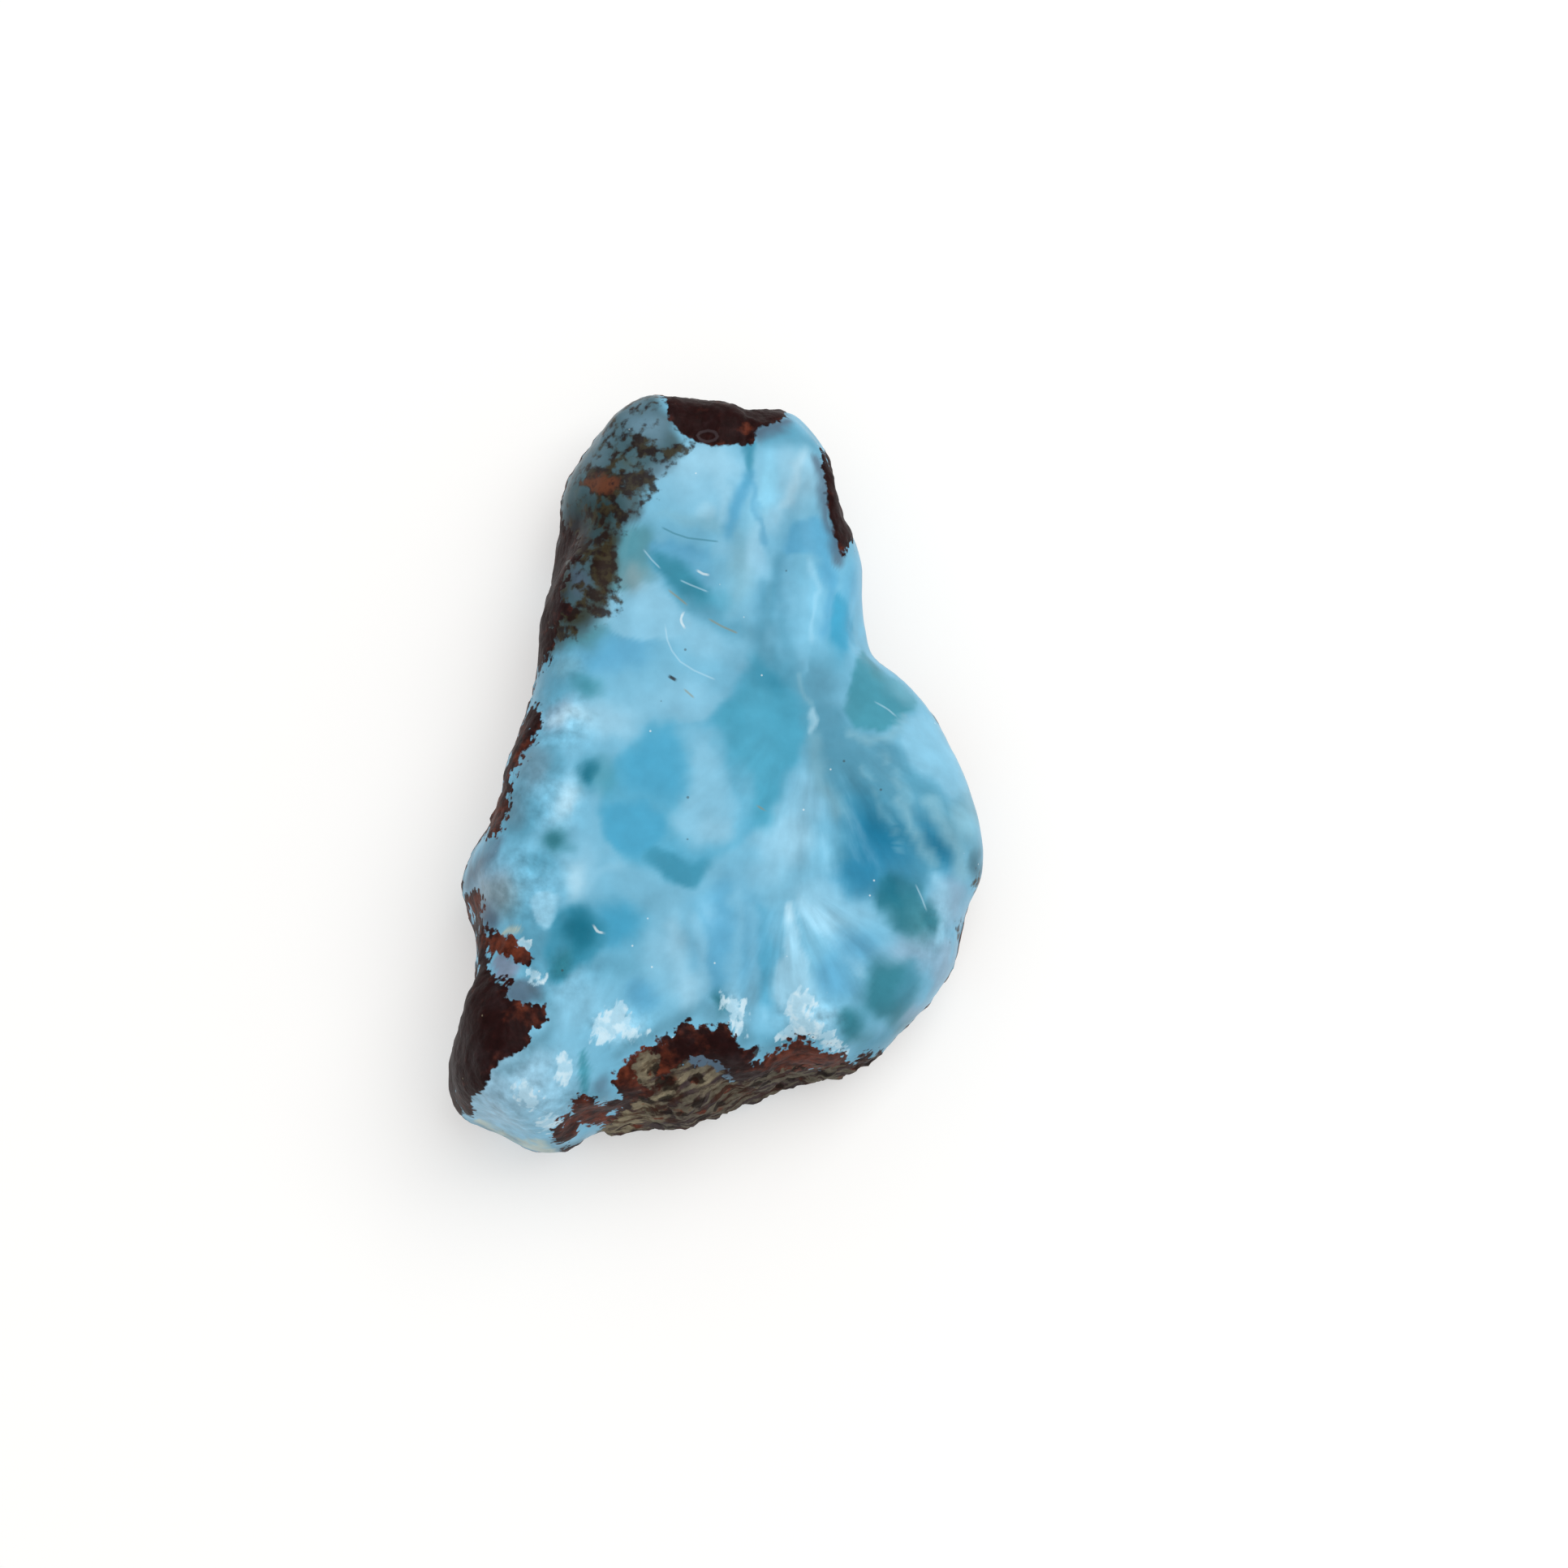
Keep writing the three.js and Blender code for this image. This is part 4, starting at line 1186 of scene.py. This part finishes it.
def blue_colour(shading):
    """The blue stone: its tint with fibres, clouds, sugary crystals, needles, specks and painted glints."""
    strand = strand_value(shading)
    crystals = shading.cloud("crystals")
    tone = 1.0 + FIBRE_TONE * strand + MOTTLE_TONE * shading.cloud("mottle")
    tone += SUGAR_TONE * crystals * shading.attribute("sugar")
    colour = shading.scaled(shading.attribute("tint", "Color"), tone)
    colour = shading.laid("strands", strand, colour)

    needles = shading.cloud("needles", shading.stretched(NEEDLE_TURN, NEEDLE_STRETCH))
    in_crest = shading.step(shading.attribute("crest") + CREST_RAGGED * needles, *CREST_EDGE)
    colour = shading.mix(CREST_STRENGTH * in_crest, colour, "snow")
    colour = shading.laid("glints", crystals, colour, where=in_crest)
    colour = shading.specked("dark", colour)
    # the bright specks are painted glints
    return rind_colour(shading, shading.specked("bright", colour))


def rind_colour(shading, colour):
    """The rind: the blue stained olive, with flecks of olive, brown and rust."""
    colour = shading.laid("stain", shading.cloud("stain"), colour, where=shading.attribute("rind"))
    flecks = FLECK_RAGGED * shading.cloud("fine flecks") + FLECK_BROAD * shading.cloud("broad flecks")
    flecks += shading.attribute("speckle")
    kind = shading.laid("fleck", shading.cloud("fleck kinds"), "olive")
    kind = shading.laid("rust", shading.attribute("red") + shading.cloud("rust"), kind)
    kind = shading.laid("fleck core", flecks, kind)
    return shading.mix(FLECK_STRENGTH * shading.step(flecks, *FLECK_EDGE), colour, kind)


def crust_colour(shading, depth):
    """The crust: red-brown at its edges and near black inside, with patches of painted sheen and pale
    grains.
    """
    red = shading.attribute("red") + CRUST_RED_GAIN * shading.cloud("crust red")
    red += CRUST_RIM_RED * shading.step(depth, *CRUST_RIM)
    colour = shading.laid("crust red", red, "crust")
    colour = shading.laid("crust sheen", shading.cloud("crust sheen"), colour)
    return shading.specked("crust", gritty(shading, colour))


def gritty(shading, colour):
    """A colour with fine grains of brighter and darker tone."""
    return shading.scaled(colour, 1.0 + GRIT_TONE * shading.cloud("grit"))


def rock_colour(shading):
    """The host rock: dark brown and lilac, with grey-green layers, cream ridges, rust, and painted shade in
    gaps and pits.
    """
    layers = shading.cloud("layers", shading.stretched(STRATA_TURN, STRATA_STRETCH))
    colour = shading.laid("rock brown", shading.cloud("rock patches"), "rock lilac")
    colour = shading.laid("rock green", layers, colour)
    colour = shading.laid("rock cream", layers, colour, where=shading.attribute("pale rock"))
    colour = shading.laid("rock rust", shading.cloud("rock rust"), colour)
    # painted shade between the layers and in the pits
    colour = shading.laid("rock gap shade", abs(layers + GAP_SHIFT), colour)
    distance, _ = shading.cells(PIT_SPACING_MM)
    colour = shading.laid("rock pit shade", distance + PIT_UNEVEN * shading.cloud("pits"), colour)
    return gritty(shading, colour)


def lined(shading, colour):
    """A colour with the thin lines drawn over it."""
    for name, (half_width, strength, _) in LINES.items():
        beside, presence, _ = shading.split(shading.attribute(f"line {name}", "Vector"))
        bare, full = (share * half_width for share in LINE_EDGE)
        colour = shading.mix(strength * presence * shading.step(abs(beside), bare, full), colour, name)
    return colour


def stone_material():
    """The stone: blue, crust and rock, with beaded and ragged borders between them."""
    material = bpy.data.materials.new("larimar_stone")
    shading = Shading(material)
    distance, _ = shading.cells(BEAD_MM)
    beads = BEAD_RADIUS - distance
    ragged = EDGE_RAGGED * shading.cloud("edge lumps") + EDGE_BEADS * beads
    ragged += EDGE_SPIKES * shading.cloud("edge spikes")
    ragged *= 1.0 - EDGE_EVENED * shading.attribute("even edge")
    crust_depth = shading.attribute("crust") + ragged
    in_crust = shading.step(crust_depth, *CRUST_EDGE)
    in_rock = shading.step(shading.attribute("rock") + ragged, *ROCK_EDGE)

    colour = shading.mix(in_crust, blue_colour(shading), crust_colour(shading, crust_depth))
    colour = shading.mix(in_rock, colour, rock_colour(shading))
    rough = ROUGHNESS["blue"] + (ROUGHNESS["crust"] - ROUGHNESS["blue"]) * in_crust
    rough += (ROUGHNESS["rock"] - ROUGHNESS["crust"]) * in_rock
    shading.feed(shading.shader, "Base Color", lined(shading, colour))
    shading.feed(shading.shader, "Roughness", rough)
    shading.feed(shading.shader, "Specular IOR Level", SPECULAR)

    grain = shading.cloud("grain")
    height = grain * (BUMPS["sugar"] * shading.attribute("sugar") + BUMPS["face"])
    height += in_crust * (BUMPS["beads"] * beads + shading.cloud("crust bumps"))
    height += BUMPS["rock"] * grain * in_rock
    bump = shading.node("Bump")
    shading.feed(bump, "Strength", BUMP_STRENGTH)
    shading.feed(bump, "Distance", BUMP_MM * MM)
    shading.feed(bump, "Height", height)
    shading.feed(shading.shader, "Normal", shading.output(bump, "Normal"))
    return material


def build_floor():
    """A plain white floor with a glow of its own, as on a light table."""
    bpy.ops.mesh.primitive_plane_add(size=FLOOR_SIZE)
    floor = bpy.context.object
    floor.name = "floor"
    material = bpy.data.materials.new("floor_white")
    shader = Shading(material).shader
    shader.inputs["Base Color"].default_value = FLOOR_COLOUR
    shader.inputs["Roughness"].default_value = 1
    shader.inputs["Specular IOR Level"].default_value = 0
    shader.inputs["Emission Color"].default_value = (1, 1, 1, 1)
    shader.inputs["Emission Strength"].default_value = FLOOR_GLOW
    floor.data.materials.append(material)


def build_camera():
    """The camera at the photograph's place."""
    data = bpy.data.cameras.new("camera")
    data.lens = LENS_MM
    data.sensor_width = SENSOR_MM
    data.clip_start = CLIP_START
    camera = bpy.data.objects.new("camera", data)
    camera.location = CAMERA_MM * MM
    camera.rotation_euler = Vector(BACK).to_track_quat("Z", "Y").to_euler()
    bpy.context.collection.objects.link(camera)
    bpy.context.scene.camera = camera


def build_lights():
    """A soft key from the upper right, and an even white room."""
    data = bpy.data.lights.new("key", "AREA")
    data.size = KEY_SIZE
    data.energy = KEY_POWER
    data.color = LIGHT_COLOUR
    key = bpy.data.objects.new("key", data)
    key.location = KEY_PLACE
    key.rotation_euler = Vector(KEY_PLACE).to_track_quat("Z", "Y").to_euler()
    bpy.context.collection.objects.link(key)
    world = bpy.data.worlds.new("room")
    bpy.context.scene.world = world
    world.use_nodes = True
    background = world.node_tree.nodes["Background"]
    background.inputs["Color"].default_value = (*LIGHT_COLOUR, 1)
    background.inputs["Strength"].default_value = ROOM_LIGHT
    bpy.context.scene.view_settings.view_transform = "Standard"


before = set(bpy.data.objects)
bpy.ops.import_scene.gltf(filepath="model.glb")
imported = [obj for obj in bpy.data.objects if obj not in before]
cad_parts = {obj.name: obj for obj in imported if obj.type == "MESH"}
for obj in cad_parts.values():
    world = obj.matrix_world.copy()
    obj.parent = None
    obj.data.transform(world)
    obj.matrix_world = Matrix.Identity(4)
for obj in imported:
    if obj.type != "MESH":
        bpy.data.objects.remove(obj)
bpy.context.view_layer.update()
stone = build_stone(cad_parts["larimar"])
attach(stone, "root")
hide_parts("larimar")
build_floor()
build_camera()
build_lights()
